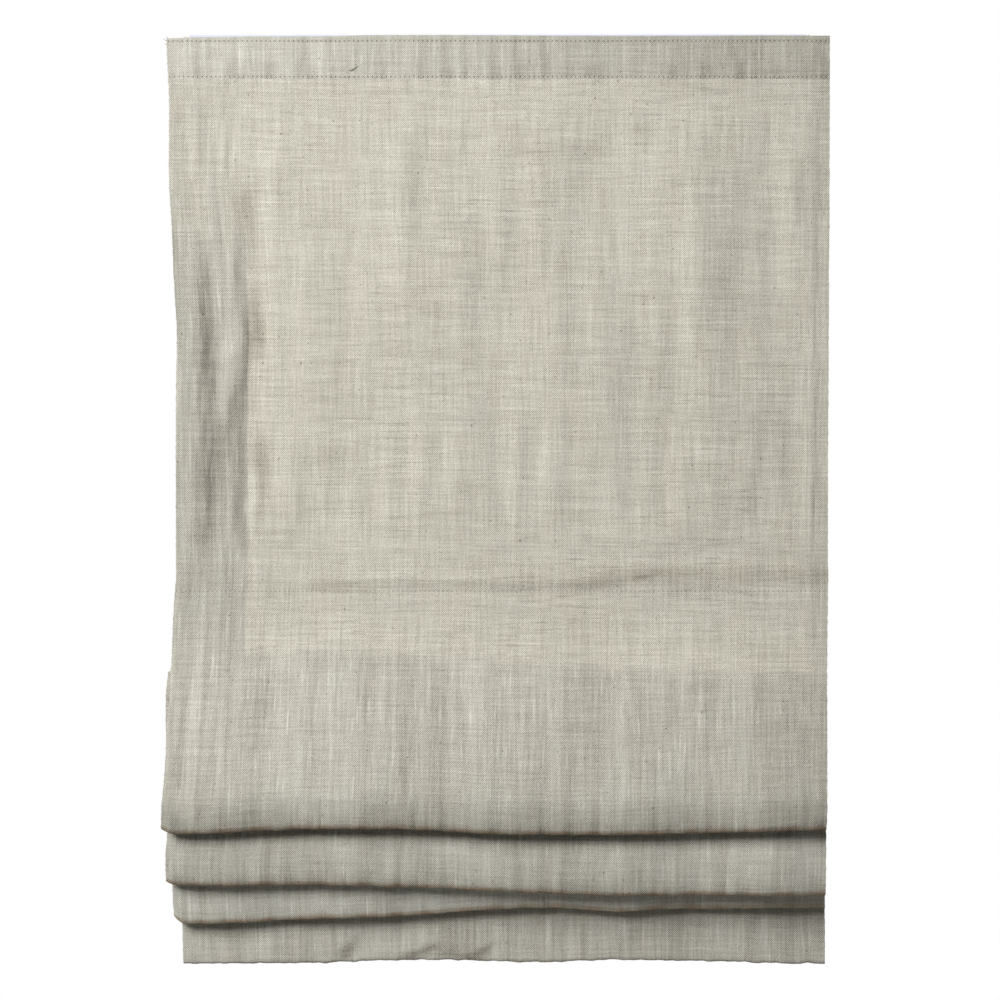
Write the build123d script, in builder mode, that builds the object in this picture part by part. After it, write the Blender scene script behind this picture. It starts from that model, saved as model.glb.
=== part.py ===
from build123d import *
from math import acos, cos, sin
import os

# Roman blind, half raised, with a cordless spring lift in its head rail.
# The origin is on the wall, midway between the screw holes of the two brackets.
# +X is to the right as seen from the room, +Y points into the wall and +Z is up.
# Sizes are in millimetres.

# Cloth, as it hangs from its top edge over four rods
cloth_width = 470.0
cloth_thickness = 0.8
top_panel = 386.0            # top edge to rod 1
fold_panel = 300.0           # along the cloth from one rod to the next
bottom_panel = 170.5         # rod 4 to the lower edge
front_gap = 64.0             # height from rod 1 down to rod 2
stack_pitch = 19.0           # height from one gathered rod to the next
rod_count = 4
fold_width = 9.0             # depth of the rounded lower end of a fold
fold_bend_share = 0.45       # radius of its bends as a share of that depth
fold_spacing = 2.5           # air between one fold and the fold behind it
bend_allowance = 9.0         # cloth that a fold spends on its bends
hairpin_width = 2.4          # between the cloth's face where it turns over a rod
hem_height = 42.0
hem_seam = 6.0               # sewn part at the top of the hem
bend_radius = 1.9            # gentle bends of the cloth
fold_air = 0.6               # between layers that lie close where they pass a rod
soft_clearance = 0.3         # cloth to what it encloses

# Head rail, an aluminium channel that is open downwards
rail_depth = 50.0
rail_height = 32.0
rail_wall = 1.4
rail_inset = 16.0            # rail end to cloth edge
rail_lip = 6.0               # front lip beside the open side
rail_back_lip = 8.0
rail_corner = 1.0
shelf_drop = 5.0             # step at the top of the back for the bracket hook
shelf_depth = 8.0
rib_height = 2.2
rib_width = 1.4
rail_above_cloth = 0.5

# Hook and loop tapes
tape_height = 25.0
tape_thickness = 1.2
tape_drop = 5.5              # cloth top edge to tape top edge
tape_inset = 6.0             # tape end to rail end

# End caps
cap_thickness = 2.5
cap_plug_length = 9.0
cap_plug_wall = 1.6
cap_chamfer = 0.6
cap_fit = 0.2

# Wall brackets and their lock levers
bracket_gauge = 1.6
bracket_width = 25.0
bracket_inset = 29.0         # bracket middle to rail end
bracket_arm = 25.0           # lower arm, out from the wall
bracket_corner = 4.0
screw_spacing = 12.0
screw_hole_radius = 2.2
bracket_fit = 0.3
lever_pivot_setback = 17.0   # from the wall
lever_thickness = 1.6
lever_nose_radius = 2.6
lever_nose_reach = 8.2       # pivot to the nose's centre
lever_tail_radius = 3.0
lever_tail_reach = 11.5
lever_hub_radius = 4.6
lever_chamfer = 0.4
rivet_radius = 1.6
rivet_head_radius = 3.0
rivet_head = 1.0
rivet_chamfer = 0.4
pivot_fit = 0.08

# Lift shaft with its cord spools
shaft_setback = 31.0         # rail back to shaft axis
shaft_side = 5.0
shaft_corner = 0.4
shaft_overhang = 12.0        # past the outer wall of each cradle
bore_fit = 0.12              # square bore, all round
drum_radius = 9.0
drum_length = 30.0
drum_taper = 0.35            # the drum loses this radius towards its inner end
cone_length = 3.0
cone_rise = 2.0
spool_flange_radius = 12.6
spool_flange = 1.2
journal_radius = 4.6
journal_fit = 0.1
end_play = 0.4
cradle_wall = 2.0
cradle_floor = 1.8
cradle_side_fit = 0.3
cradle_neck = 7.6            # snap-in mouth above the journal
cradle_wall_radius = 8.0
cradle_foot_width = 26.0
cradle_foot_angle = 70.0
cradle_foot = 6.0            # floor past each bearing wall
window_margin = 0.8          # floor that stands in from the rail's back lip
window_reach = 1.65          # window past the cord
hook_length = 5.0
hook_thickness = 1.5
hook_grip = 0.9
collar_radius = 6.0
collar_length = 5.0
collar_chamfer = 0.4

# Lift cords and rings
cord_diameter = 1.2
cord_pitch = 1.3
cord_inset = 85.0            # cloth edge to cord
cord_turns = 13
coil_slack = 0.1             # the winding stands this much thicker than the cord
coil_fit = 0.3               # drum to winding
winding_gap = 0.1            # foot of the cone to the last turn
ring_outer_radius = 5.5
ring_wire_radius = 1.0
ring_facets = 6              # flats round its section
ring_seat = 0.15             # ring to the pocket that it is sewn to
orb_radius = 4.5
orb_height = 12.0
orb_bevel = 2.0              # at its foot, and half of it at its top

# Rods and their pockets
rod_radius = 2.25
rod_inset = 12.0             # rod end to cloth edge
rod_play = 0.15
rod_chamfer = 0.4
pocket_height = 20.0         # width of the pocket tape, lying flat
pocket_thickness = 0.5
pocket_inset = 8.0
pocket_bend = 0.9
pocket_foot = 5.5            # from rod line to where the flat pocket leaves the cloth
pocket_crown = 2.2           # half width of its flat crown
saddle_leg = 7.0             # rod line down to the lower edge of a folded pocket

# Bottom bar
bar_height = 25.0
bar_thickness = 4.0
bar_inset = 16.0
bar_cap_length = 4.0
bar_cap_bevel = 1.0

# Spring motor
band_width = 14.0
band_gauge = 0.3
band_fit = 0.3
output_hub_radius = 6.0
output_coil_radius = 9.4
output_flange_radius = 11.0
storage_hub_radius = 4.0
storage_coil_radius = 6.4
storage_flange_radius = 7.4
motor_flange = 1.0
drum_gap = 0.6               # between the rims of the two drums
storage_journal_radius = 2.5
housing_wall = 1.4
housing_fit = 0.3
housing_corner = 1.8
housing_seat = 0.4           # housing to the rail's inside, above it
cover_chamfer = 0.4
motor_middle = 62.0          # along the rail, from its middle

# Places that follow from the sizes above
rail_back = -bracket_gauge
rail_front = rail_back - rail_depth
rail_top = rail_height / 2
rail_bottom = -rail_height / 2
rail_length = cloth_width - 2 * rail_inset
shelf_top = rail_top - shelf_drop
shelf_front = rail_back - shelf_depth
inner_back = rail_back - rail_wall
inner_front = rail_front + rail_wall
lip_top = rail_bottom + rail_wall
inner_top = rail_top - rail_wall
cloth_top = rail_top - rail_above_cloth
header_face = rail_front - 2 * tape_thickness - cloth_thickness
tape_middle = cloth_top - tape_drop - tape_height / 2
shaft_y = rail_back - shaft_setback
cord_radius = cord_diameter / 2
coil_inner = drum_radius + coil_fit
coil_outer = coil_inner + cord_diameter + coil_slack
cord_y = shaft_y - (coil_inner + coil_outer) / 2
cord_x = cloth_width / 2 - cord_inset
spool_half = (drum_length + cone_length) / 2 + spool_flange
cone_start = spool_half - spool_flange - cone_length
spool_x = cord_x + cord_radius + winding_gap - cone_start
bracket_x = rail_length / 2 - bracket_inset

rod_z = [cloth_top - top_panel]
rod_z.append(rod_z[0] - front_gap)
for index in range(2, rod_count):
    rod_z.append(rod_z[-1] - stack_pitch)
hem_z = rod_z[-1] - bottom_panel

# A flat pocket stands this far behind the cloth, a folded one this far each side of its rod
pocket_depth = 2 * (rod_radius + rod_play) + pocket_thickness
saddle_half = rod_radius + rod_play + pocket_thickness
saddle_y = cord_y - ring_outer_radius - ring_seat - saddle_half
flat_back = cord_y - ring_outer_radius - ring_seat - pocket_depth

sides = {"left": -1, "right": 1}


def save(piece, name):
    """Label a finished piece and write it to its own file."""
    piece.part.label = name
    export_step(piece.part, f"parts/{name}.step")


os.makedirs("parts", exist_ok=True)

# Head rail: one bent wall, with a rib that the brackets hook over
with BuildPart() as head_rail:
    with BuildSketch(Plane.YZ.offset(-rail_length / 2)):
        with BuildLine():
            FilletPolyline(
                (rail_front + rail_lip, rail_bottom),
                (rail_front, rail_bottom),
                (rail_front, rail_top),
                (shelf_front, rail_top),
                (shelf_front, shelf_top),
                (rail_back, shelf_top),
                (rail_back, rail_bottom),
                (rail_back - rail_back_lip, rail_bottom),
                radius=rail_corner,
            )
            offset(amount=rail_wall, side=Side.RIGHT, kind=Kind.INTERSECTION)
        make_face()
        with Locations((rail_back - rib_width / 2, shelf_top - rail_wall)):
            Rectangle(rib_width, rib_height + rail_wall, align=(Align.CENTER, Align.MIN))
    extrude(amount=rail_length)
save(head_rail, "head_rail")

# End caps: a plate with the rail's outline, and a plug that follows the rail's inside
for side, sign in sides.items():
    rail_end = Plane.YZ.offset(sign * rail_length / 2)
    with BuildPart() as end_cap:
        with BuildSketch(rail_end):
            with BuildLine():
                FilletPolyline(
                    (rail_front, rail_bottom),
                    (rail_front, rail_top),
                    (shelf_front, rail_top),
                    (shelf_front, shelf_top),
                    (rail_back, shelf_top),
                    (rail_back, rail_bottom),
                    radius=rail_corner,
                    close=True,
                )
            make_face()
        extrude(amount=sign * cap_thickness)
        chamfer(end_cap.faces().sort_by(Axis.X)[-1 if sign > 0 else 0].edges(), cap_chamfer)
        with BuildSketch(rail_end):
            with BuildLine():
                Polyline(
                    (inner_front + cap_fit, lip_top + cap_fit),
                    (inner_front + cap_fit, inner_top - cap_fit),
                    (shelf_front - rail_wall - cap_fit, inner_top - cap_fit),
                    (shelf_front - rail_wall - cap_fit, shelf_top - rail_wall - cap_fit),
                    (inner_back - cap_fit, shelf_top - rail_wall - cap_fit),
                    (inner_back - cap_fit, lip_top + cap_fit),
                    close=True,
                )
            make_face()
            offset(amount=-cap_plug_wall, mode=Mode.SUBTRACT)
        extrude(amount=-sign * cap_plug_length)
    save(end_cap, f"end_cap_{side}")

# Hook tape on the rail and loop tape behind the cloth's header
with BuildPart() as hook_tape:
    with BuildSketch(Plane.XZ.offset(-rail_front)):
        with Locations((0, tape_middle)):
            Rectangle(rail_length - 2 * tape_inset, tape_height)
    extrude(amount=tape_thickness)
save(hook_tape, "hook_tape")

with BuildPart() as loop_tape:
    with BuildSketch(Plane.XZ.offset(-rail_front + tape_thickness)):
        with Locations((0, tape_middle)):
            Rectangle(cloth_width - 2 * pocket_inset, tape_height)
    extrude(amount=tape_thickness)
save(loop_tape, "loop_tape")

# Wall brackets: one bent strip that hooks over the rail's rib and reaches under its back lip
arm_underside = shelf_top + rib_height + bracket_fit
hook_front = rail_back - rib_width - bracket_fit - bracket_gauge
for side, sign in sides.items():
    with BuildPart() as wall_bracket:
        with BuildSketch(Plane.YZ.offset(sign * bracket_x)):
            with BuildLine():
                FilletPolyline(
                    (hook_front, shelf_top + bracket_fit),
                    (hook_front, arm_underside + bracket_gauge),
                    (0, arm_underside + bracket_gauge),
                    (0, rail_bottom - bracket_gauge),
                    (-bracket_arm, rail_bottom - bracket_gauge),
                    radius=bracket_gauge + bracket_fit,
                )
                offset(amount=bracket_gauge, side=Side.RIGHT, kind=Kind.INTERSECTION)
            make_face()
        extrude(amount=bracket_width / 2, both=True)
        arm_corners = wall_bracket.edges().filter_by(Axis.Z).group_by(Axis.Y)[0]
        fillet(arm_corners, bracket_corner)
        with Locations(Plane.XZ.offset(-rail_back)):
            with Locations(*[(sign * bracket_x, end * screw_spacing / 2) for end in (-1, 1)]):
                Hole(screw_hole_radius, depth=2 * bracket_gauge)
        with BuildSketch(Plane.XY.offset(rail_bottom)):
            with Locations((sign * bracket_x, -lever_pivot_setback)):
                Circle(rivet_radius + pivot_fit)
        extrude(amount=-bracket_gauge, mode=Mode.SUBTRACT)
    save(wall_bracket, f"wall_bracket_{side}")

# Lock levers: a cam plate whose nose lies over the rail's back lip, on a hub that clears the lip
lever_underside = lip_top + bracket_fit
lever_top = lever_underside + lever_thickness
for side, sign in sides.items():
    pivot = (sign * bracket_x, -lever_pivot_setback)
    with BuildPart() as lock_lever:
        with BuildSketch(Plane.XY.offset(lever_underside)):
            with BuildLine():
                CenterArc(pivot, lever_hub_radius, 0, 360)
                CenterArc((pivot[0], pivot[1] + lever_nose_reach), lever_nose_radius, 0, 360)
                CenterArc((pivot[0], pivot[1] - lever_tail_reach), lever_tail_radius, 0, 360)
            make_hull()
        extrude(amount=lever_thickness)
        chamfer(lock_lever.edges().group_by(Axis.Z)[-1], lever_chamfer)
        with BuildSketch(Plane.XY.offset(rail_bottom)):
            with Locations(pivot):
                Circle(lever_hub_radius)
        extrude(amount=lever_underside - rail_bottom)
        with BuildSketch(Plane.XY.offset(rail_bottom)):
            with Locations(pivot):
                Circle(rivet_radius + pivot_fit)
        extrude(amount=lever_top - rail_bottom, mode=Mode.SUBTRACT)
    save(lock_lever, f"lock_lever_{side}")

    with BuildPart() as lever_rivet:
        with BuildSketch(Plane.XY.offset(rail_bottom - bracket_gauge)):
            with Locations(pivot):
                Circle(rivet_head_radius)
        extrude(amount=-rivet_head)
        with BuildSketch(Plane.XY.offset(rail_bottom - bracket_gauge)):
            with Locations(pivot):
                Circle(rivet_radius)
        extrude(amount=lever_top + pivot_fit - rail_bottom + bracket_gauge)
        with BuildSketch(Plane.XY.offset(lever_top + pivot_fit)):
            with Locations(pivot):
                Circle(rivet_head_radius)
        extrude(amount=rivet_head)
        chamfer(lever_rivet.edges().group_by(Axis.Z)[0], rivet_chamfer)
        chamfer(lever_rivet.edges().group_by(Axis.Z)[-1], rivet_chamfer)
    save(lever_rivet, f"lever_rivet_{side}")

# Cord spools: a slightly tapered drum between a rim and a cone that pushes each new turn along.
# The cord leaves at the foot of the cone, which is on the side of the blind's edge.
square_bore = shaft_side + 2 * bore_fit
journal_length = cradle_wall + 2 * end_play
for side, sign in sides.items():
    with BuildPart() as cord_spool:
        with BuildSketch(Plane.XZ.offset(-shaft_y)):
            with BuildLine():
                Polyline(
                    (sign * (spool_x - spool_half - journal_length), 0),
                    (sign * (spool_x - spool_half - journal_length), journal_radius),
                    (sign * (spool_x - spool_half), journal_radius),
                    (sign * (spool_x - spool_half), spool_flange_radius),
                    (sign * (spool_x - spool_half + spool_flange), spool_flange_radius),
                    (sign * (spool_x - spool_half + spool_flange), drum_radius - drum_taper),
                    (sign * (spool_x + cone_start), drum_radius),
                    (sign * (spool_x + cone_start + cone_length), drum_radius + cone_rise),
                    (sign * (spool_x + cone_start + cone_length), spool_flange_radius),
                    (sign * (spool_x + spool_half), spool_flange_radius),
                    (sign * (spool_x + spool_half), journal_radius),
                    (sign * (spool_x + spool_half + journal_length), journal_radius),
                    (sign * (spool_x + spool_half + journal_length), 0),
                    close=True,
                )
            make_face()
        revolve(axis=Axis((0, shaft_y, 0), (1, 0, 0)))
        with BuildSketch(Plane.YZ.offset(sign * spool_x)):
            with Locations((shaft_y, 0)):
                Rectangle(square_bore, square_bore)
        extrude(amount=2 * spool_half, both=True, mode=Mode.SUBTRACT)
    save(cord_spool, f"cord_spool_{side}")

# Spool cradles: a floor with a window for the cord, two bearing walls and a snap hook at each corner
cradle_half = spool_half + end_play + cradle_wall
cradle_front = inner_front + cradle_side_fit
cradle_back = inner_back - cradle_side_fit
slot_front = rail_front + rail_lip
slot_back = rail_back - rail_back_lip
window_front = cord_y - cord_radius - window_reach
window_back = slot_back - window_margin
for side, sign in sides.items():
    middle = sign * spool_x
    with BuildPart() as spool_cradle:
        with BuildSketch(Plane.XY.offset(lip_top)):
            with Locations((middle, (cradle_front + cradle_back) / 2)):
                Rectangle(2 * (cradle_half + cradle_foot), cradle_back - cradle_front)
            with Locations((middle, (window_front + window_back) / 2)):
                Rectangle(
                    2 * (cradle_half - cradle_wall),
                    window_back - window_front,
                    mode=Mode.SUBTRACT,
                )
        extrude(amount=cradle_floor)
        with BuildSketch(Plane.YZ.offset(middle - cradle_half)) as bearing_wall:
            with Locations((shaft_y, 0)):
                Circle(cradle_wall_radius)
            with Locations((shaft_y, lip_top)):
                Trapezoid(
                    cradle_foot_width,
                    -lip_top,
                    cradle_foot_angle,
                    align=(Align.CENTER, Align.MIN),
                )
            with Locations((shaft_y, 0)):
                Circle(journal_radius + journal_fit, mode=Mode.SUBTRACT)
                Rectangle(
                    cradle_neck,
                    2 * cradle_wall_radius,
                    align=(Align.CENTER, Align.MIN),
                    mode=Mode.SUBTRACT,
                )
        extrude(amount=cradle_wall)
        with BuildSketch(Plane.YZ.offset(middle + cradle_half - cradle_wall)):
            add(bearing_wall.sketch_local)
        extrude(amount=cradle_wall)
        for end in (-1, 1):
            with BuildSketch(Plane.YZ.offset(middle + end * (cradle_half + cradle_foot / 2))):
                for edge_y, inward in ((slot_front, 1), (slot_back, -1)):
                    near = edge_y + inward * cap_fit
                    far = near + inward * hook_thickness
                    with BuildLine():
                        Polyline(
                            (near, lip_top),
                            (near, rail_bottom - cap_fit),
                            (edge_y - inward * hook_grip, rail_bottom - cap_fit),
                            (near, rail_bottom - hook_thickness),
                            (far, rail_bottom - hook_thickness),
                            (far, lip_top),
                            close=True,
                        )
                    make_face()
            extrude(amount=hook_length / 2, both=True)
    save(spool_cradle, f"spool_cradle_{side}")

# Square lift shaft through both spools and the motor, and a collar outside each cradle
shaft_half = spool_x + cradle_half + shaft_overhang
with BuildPart() as drive_shaft:
    with BuildSketch(Plane.YZ.offset(-shaft_half)):
        with Locations((shaft_y, 0)):
            RectangleRounded(shaft_side, shaft_side, shaft_corner)
    extrude(amount=2 * shaft_half)
    chamfer(drive_shaft.edges().group_by(Axis.X)[0], shaft_corner)
    chamfer(drive_shaft.edges().group_by(Axis.X)[-1], shaft_corner)
save(drive_shaft, "drive_shaft")

for side, sign in sides.items():
    collar_start = spool_x + cradle_half + 2 * end_play
    with BuildPart() as shaft_collar:
        with BuildSketch(Plane.YZ.offset(sign * collar_start)):
            with Locations((shaft_y, 0)):
                Circle(collar_radius)
                Rectangle(square_bore, square_bore, mode=Mode.SUBTRACT)
        extrude(amount=sign * collar_length)
        outer_edges = shaft_collar.edges().filter_by(GeomType.CIRCLE)
        chamfer(outer_edges, collar_chamfer)
    save(shaft_collar, f"shaft_collar_{side}")

# Spring motor: two flanged drums side by side in a housing
storage_y = shaft_y + output_flange_radius + drum_gap + storage_flange_radius
motor_half = band_width / 2 + band_fit + motor_flange
drum_specs = {
    "output_drum": (shaft_y, output_hub_radius, output_flange_radius, journal_radius),
    "storage_drum": (storage_y, storage_hub_radius, storage_flange_radius, storage_journal_radius),
}
for name, (axis_y, hub_radius, flange_radius, stub_radius) in drum_specs.items():
    stub = motor_half + end_play + housing_wall
    with BuildPart() as spring_drum:
        with BuildSketch(Plane.XZ.offset(-axis_y)):
            with BuildLine():
                Polyline(
                    (motor_middle - stub, 0),
                    (motor_middle - stub, stub_radius),
                    (motor_middle - motor_half, stub_radius),
                    (motor_middle - motor_half, flange_radius),
                    (motor_middle - motor_half + motor_flange, flange_radius),
                    (motor_middle - motor_half + motor_flange, hub_radius),
                    (motor_middle + motor_half - motor_flange, hub_radius),
                    (motor_middle + motor_half - motor_flange, flange_radius),
                    (motor_middle + motor_half, flange_radius),
                    (motor_middle + motor_half, stub_radius),
                    (motor_middle + stub, stub_radius),
                    (motor_middle + stub, 0),
                    close=True,
                )
            make_face()
        revolve(axis=Axis((0, axis_y, 0), (1, 0, 0)))
        if name == "output_drum":
            with BuildSketch(Plane.YZ.offset(motor_middle)):
                with Locations((shaft_y, 0)):
                    Rectangle(square_bore, square_bore)
            extrude(amount=2 * motor_half, both=True, mode=Mode.SUBTRACT)
    save(spring_drum, name)

# Spring band: a coil on each drum, and the strip that crosses from one to the other
coil_distance = storage_y - shaft_y
output_line = output_coil_radius - band_gauge / 2
storage_line = storage_coil_radius - band_gauge / 2
strip_angle = acos((output_line + storage_line) / coil_distance)
radial = (cos(strip_angle), sin(strip_angle))
with BuildPart() as spring_band:
    with BuildSketch(Plane.YZ.offset(motor_middle - band_width / 2)):
        with Locations((shaft_y, 0)):
            Circle(output_coil_radius)
        with Locations((storage_y, 0)):
            Circle(storage_coil_radius)
        with BuildLine():
            Polyline(
                (shaft_y + output_coil_radius * radial[0], output_coil_radius * radial[1]),
                (
                    shaft_y + (output_coil_radius - band_gauge) * radial[0],
                    (output_coil_radius - band_gauge) * radial[1],
                ),
                (storage_y - storage_coil_radius * radial[0], -storage_coil_radius * radial[1]),
                (
                    storage_y - (storage_coil_radius - band_gauge) * radial[0],
                    -(storage_coil_radius - band_gauge) * radial[1],
                ),
                close=True,
            )
        make_face()
        with Locations((shaft_y, 0)):
            Circle(output_hub_radius + band_fit, mode=Mode.SUBTRACT)
        with Locations((storage_y, 0)):
            Circle(storage_hub_radius + band_fit, mode=Mode.SUBTRACT)
    extrude(amount=band_width)
save(spring_band, "spring_band")

# Motor housing, a cup that stands on the rail's lips under its shelf, and the cover that closes it
housing_half = motor_half + end_play
housing_outline = [
    (shaft_y - output_flange_radius - housing_fit - housing_wall, lip_top),
    (shaft_y - output_flange_radius - housing_fit - housing_wall, inner_top - housing_seat),
    (shelf_front - rail_wall - housing_seat, inner_top - housing_seat),
    (shelf_front - rail_wall - housing_seat, shelf_top - rail_wall - housing_seat),
    (inner_back - housing_seat, shelf_top - rail_wall - housing_seat),
    (inner_back - housing_seat, lip_top),
]
with BuildPart() as motor_housing:
    with BuildSketch(Plane.YZ.offset(motor_middle - housing_half - housing_wall)) as housing_shape:
        with BuildLine():
            FilletPolyline(*housing_outline, radius=housing_corner, close=True)
        make_face()
    extrude(amount=2 * housing_half + housing_wall)
    with BuildSketch(Plane.YZ.offset(motor_middle - housing_half)):
        add(housing_shape.sketch_local)
        offset(amount=-housing_wall, mode=Mode.REPLACE)
    extrude(amount=2 * housing_half, mode=Mode.SUBTRACT)
    with BuildSketch(Plane.YZ.offset(motor_middle - housing_half)) as drum_holes:
        with Locations((shaft_y, 0)):
            Circle(journal_radius + journal_fit)
        with Locations((storage_y, 0)):
            Circle(storage_journal_radius + journal_fit)
    extrude(amount=-housing_wall, mode=Mode.SUBTRACT)
save(motor_housing, "motor_housing")

with BuildPart() as motor_cover:
    with BuildSketch(Plane.YZ.offset(motor_middle + housing_half)):
        add(housing_shape.sketch_local)
        add(drum_holes.sketch_local, mode=Mode.SUBTRACT)
    extrude(amount=housing_wall)
    chamfer(motor_cover.faces().sort_by(Axis.X)[-1].outer_wire().edges(), cover_chamfer)
save(motor_cover, "motor_cover")

# Cloth: its middle line seen from the side, from the top edge over every fold to the hem.
# At each gathered rod the layers in front of it lie close, one layer pitch apart.
half_cloth = cloth_thickness / 2
layer_pitch = cloth_thickness + fold_air
first_layer = saddle_y - saddle_half - fold_air - half_cloth
level_rise = rod_radius + rod_play + pocket_thickness + fold_air
turn_half = (hairpin_width + cloth_thickness) / 2
crest_z = [rod - rod_radius - rod_play - half_cloth for rod in rod_z]
panel_y = saddle_y + turn_half
last_fold = rod_count - 2
tight_turn = turn_half - 0.1
fold_round = (fold_width - cloth_thickness) * fold_bend_share

cloth_line = [
    (header_face + half_cloth, cloth_top),
    (header_face + half_cloth, rail_bottom),
    (flat_back - half_cloth, rod_z[0] + pocket_height / 2),
    (flat_back - half_cloth, rod_z[0] - pocket_height / 2),
]
bends = [bend_radius, bend_radius, bend_radius]
for fold in range(rod_count - 1):
    rear_y = panel_y - cloth_thickness - fold_spacing
    rear_y = rear_y - (last_fold - fold) * (fold_width + fold_spacing)
    front_y = rear_y - fold_width + cloth_thickness
    fold_start = rod_z[0] if fold == 0 else crest_z[fold]
    fold_z = (fold_start + crest_z[fold + 1] - fold_panel + bend_allowance) / 2
    for level in range(fold + 1, rod_count):
        layer_y = first_layer - layer_pitch * 2 * (level - 1 - fold)
        cloth_line.append((layer_y, rod_z[level] + level_rise))
        cloth_line.append((layer_y, rod_z[level] - saddle_leg))
        bends.extend([bend_radius, bend_radius])
    cloth_line.append((front_y, fold_z))
    cloth_line.append((rear_y, fold_z))
    bends.extend([fold_round, fold_round])
    for level in range(rod_count - 1, fold + 1, -1):
        layer_y = first_layer - layer_pitch * (2 * (level - 1 - fold) - 1)
        cloth_line.append((layer_y, rod_z[level] - saddle_leg))
        cloth_line.append((layer_y, rod_z[level] + level_rise))
        bends.extend([bend_radius, bend_radius])
    cloth_line.append((saddle_y - turn_half, rod_z[fold + 1] - saddle_leg))
    cloth_line.append((saddle_y - turn_half, crest_z[fold + 1]))
    cloth_line.append((saddle_y + turn_half, crest_z[fold + 1]))
    bends.extend([bend_radius, tight_turn, tight_turn])
    if fold < last_fold:
        cloth_line.append((saddle_y + turn_half, rod_z[fold + 1] - saddle_leg))
        bends.append(bend_radius)

# The hem turns up behind the bottom bar, and its top is sewn to the back of the cloth
hem_depth = bar_thickness + 2 * soft_clearance + cloth_thickness
hem_meets = panel_y + cloth_thickness + soft_clearance
cloth_line.extend(
    [
        (panel_y, hem_z + half_cloth),
        (panel_y + hem_depth, hem_z + half_cloth),
        (panel_y + hem_depth, hem_z + hem_height - 2 * hem_seam),
        (hem_meets, hem_z + hem_height - hem_seam),
        (hem_meets, hem_z + hem_height),
    ]
)
bends.extend([bend_radius, bend_radius, bend_radius, bend_radius])
with BuildPart() as shade_cloth:
    with BuildLine(Plane.YZ):
        FilletPolyline(*cloth_line, radius=bends)
    with BuildSketch(Plane.XY.offset(cloth_top)):
        with Locations((0, header_face + half_cloth)):
            Rectangle(cloth_width, cloth_thickness)
    sweep()
save(shade_cloth, "shade_cloth")

# Pocket tapes, rods and rings. The first pocket hangs flat behind the cloth.
# The others are folded over with the cloth, so each is a saddle around its rod.
rod_length = cloth_width - 2 * rod_inset
pocket_length = cloth_width - 2 * pocket_inset
crown = 2 * (rod_radius + rod_play)
for number, height in enumerate(rod_z, start=1):
    with BuildPart() as pocket_tape:
        with BuildSketch(Plane.YZ.offset(-pocket_length / 2)):
            with BuildLine():
                if number == 1:
                    FilletPolyline(
                        (flat_back, height + pocket_height / 2),
                        (flat_back, height + pocket_foot),
                        (flat_back + crown, height + pocket_crown),
                        (flat_back + crown, height - pocket_crown),
                        (flat_back, height - pocket_foot),
                        (flat_back, height - pocket_height / 2),
                        radius=pocket_bend,
                    )
                    offset(amount=pocket_thickness, side=Side.LEFT, kind=Kind.INTERSECTION)
                else:
                    FilletPolyline(
                        (saddle_y - saddle_half, height - saddle_leg),
                        (saddle_y - saddle_half, height + saddle_half),
                        (saddle_y + saddle_half, height + saddle_half),
                        (saddle_y + saddle_half, height - saddle_leg),
                        radius=saddle_half - 0.1,
                    )
                    offset(amount=pocket_thickness, side=Side.RIGHT, kind=Kind.INTERSECTION)
            make_face()
        extrude(amount=pocket_length)
    save(pocket_tape, f"pocket_tape_{number}")

    rod_y = flat_back + rod_radius + rod_play if number == 1 else saddle_y
    with BuildPart() as stiffener_rod:
        with BuildSketch(Plane.YZ.offset(-rod_length / 2)):
            with Locations((rod_y, height)):
                Circle(rod_radius)
        extrude(amount=rod_length)
        chamfer(stiffener_rod.edges(), rod_chamfer)
    save(stiffener_rod, f"stiffener_rod_{number}")

    for side, sign in sides.items():
        ring_axis = Axis((sign * cord_x, cord_y, 0), (0, 0, 1))
        with BuildPart() as ring:
            with BuildSketch(Plane.XZ.offset(-cord_y)):
                with Locations((sign * cord_x + ring_outer_radius - ring_wire_radius, height)):
                    RegularPolygon(ring_wire_radius, ring_facets, rotation=180 / ring_facets)
            revolve(axis=ring_axis)
        save(ring, f"ring_{number}_{side}")

# Lift cords: the turns on the spool as one sleeve, and the straight run to the lowest ring
orb_top = rod_z[-1] - ring_wire_radius - ring_seat
for side, sign in sides.items():
    with BuildPart() as lift_cord:
        with BuildSketch(Plane.YZ.offset(sign * (spool_x + cone_start))):
            with Locations((shaft_y, 0)):
                Circle(coil_outer)
                Circle(coil_inner, mode=Mode.SUBTRACT)
        extrude(amount=-sign * cord_turns * cord_pitch)
        with BuildSketch(Plane.XY.offset(orb_top)):
            with Locations((sign * cord_x, cord_y)):
                Circle(cord_radius)
        extrude(amount=-orb_top)
    save(lift_cord, f"lift_cord_{side}")

    with BuildPart() as cord_orb:
        with BuildSketch(Plane.XY.offset(orb_top - orb_height)):
            with Locations((sign * cord_x, cord_y)):
                Circle(orb_radius)
        extrude(amount=orb_height)
        chamfer(cord_orb.edges().group_by(Axis.Z)[0], orb_bevel)
        chamfer(cord_orb.edges().group_by(Axis.Z)[-1], orb_bevel / 2)
    save(cord_orb, f"cord_orb_{side}")

# Bottom bar in the hem, with a cap on each end
bar_length = cloth_width - 2 * bar_inset
bar_y = panel_y + half_cloth + soft_clearance + bar_thickness / 2
bar_z = hem_z + cloth_thickness + soft_clearance + bar_height / 2
with BuildPart() as bottom_bar:
    with BuildSketch(Plane.YZ.offset(-bar_length / 2)):
        with Locations((bar_y, bar_z)):
            SlotOverall(bar_height, bar_thickness, rotation=90)
    extrude(amount=bar_length)
save(bottom_bar, "bottom_bar")

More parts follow.
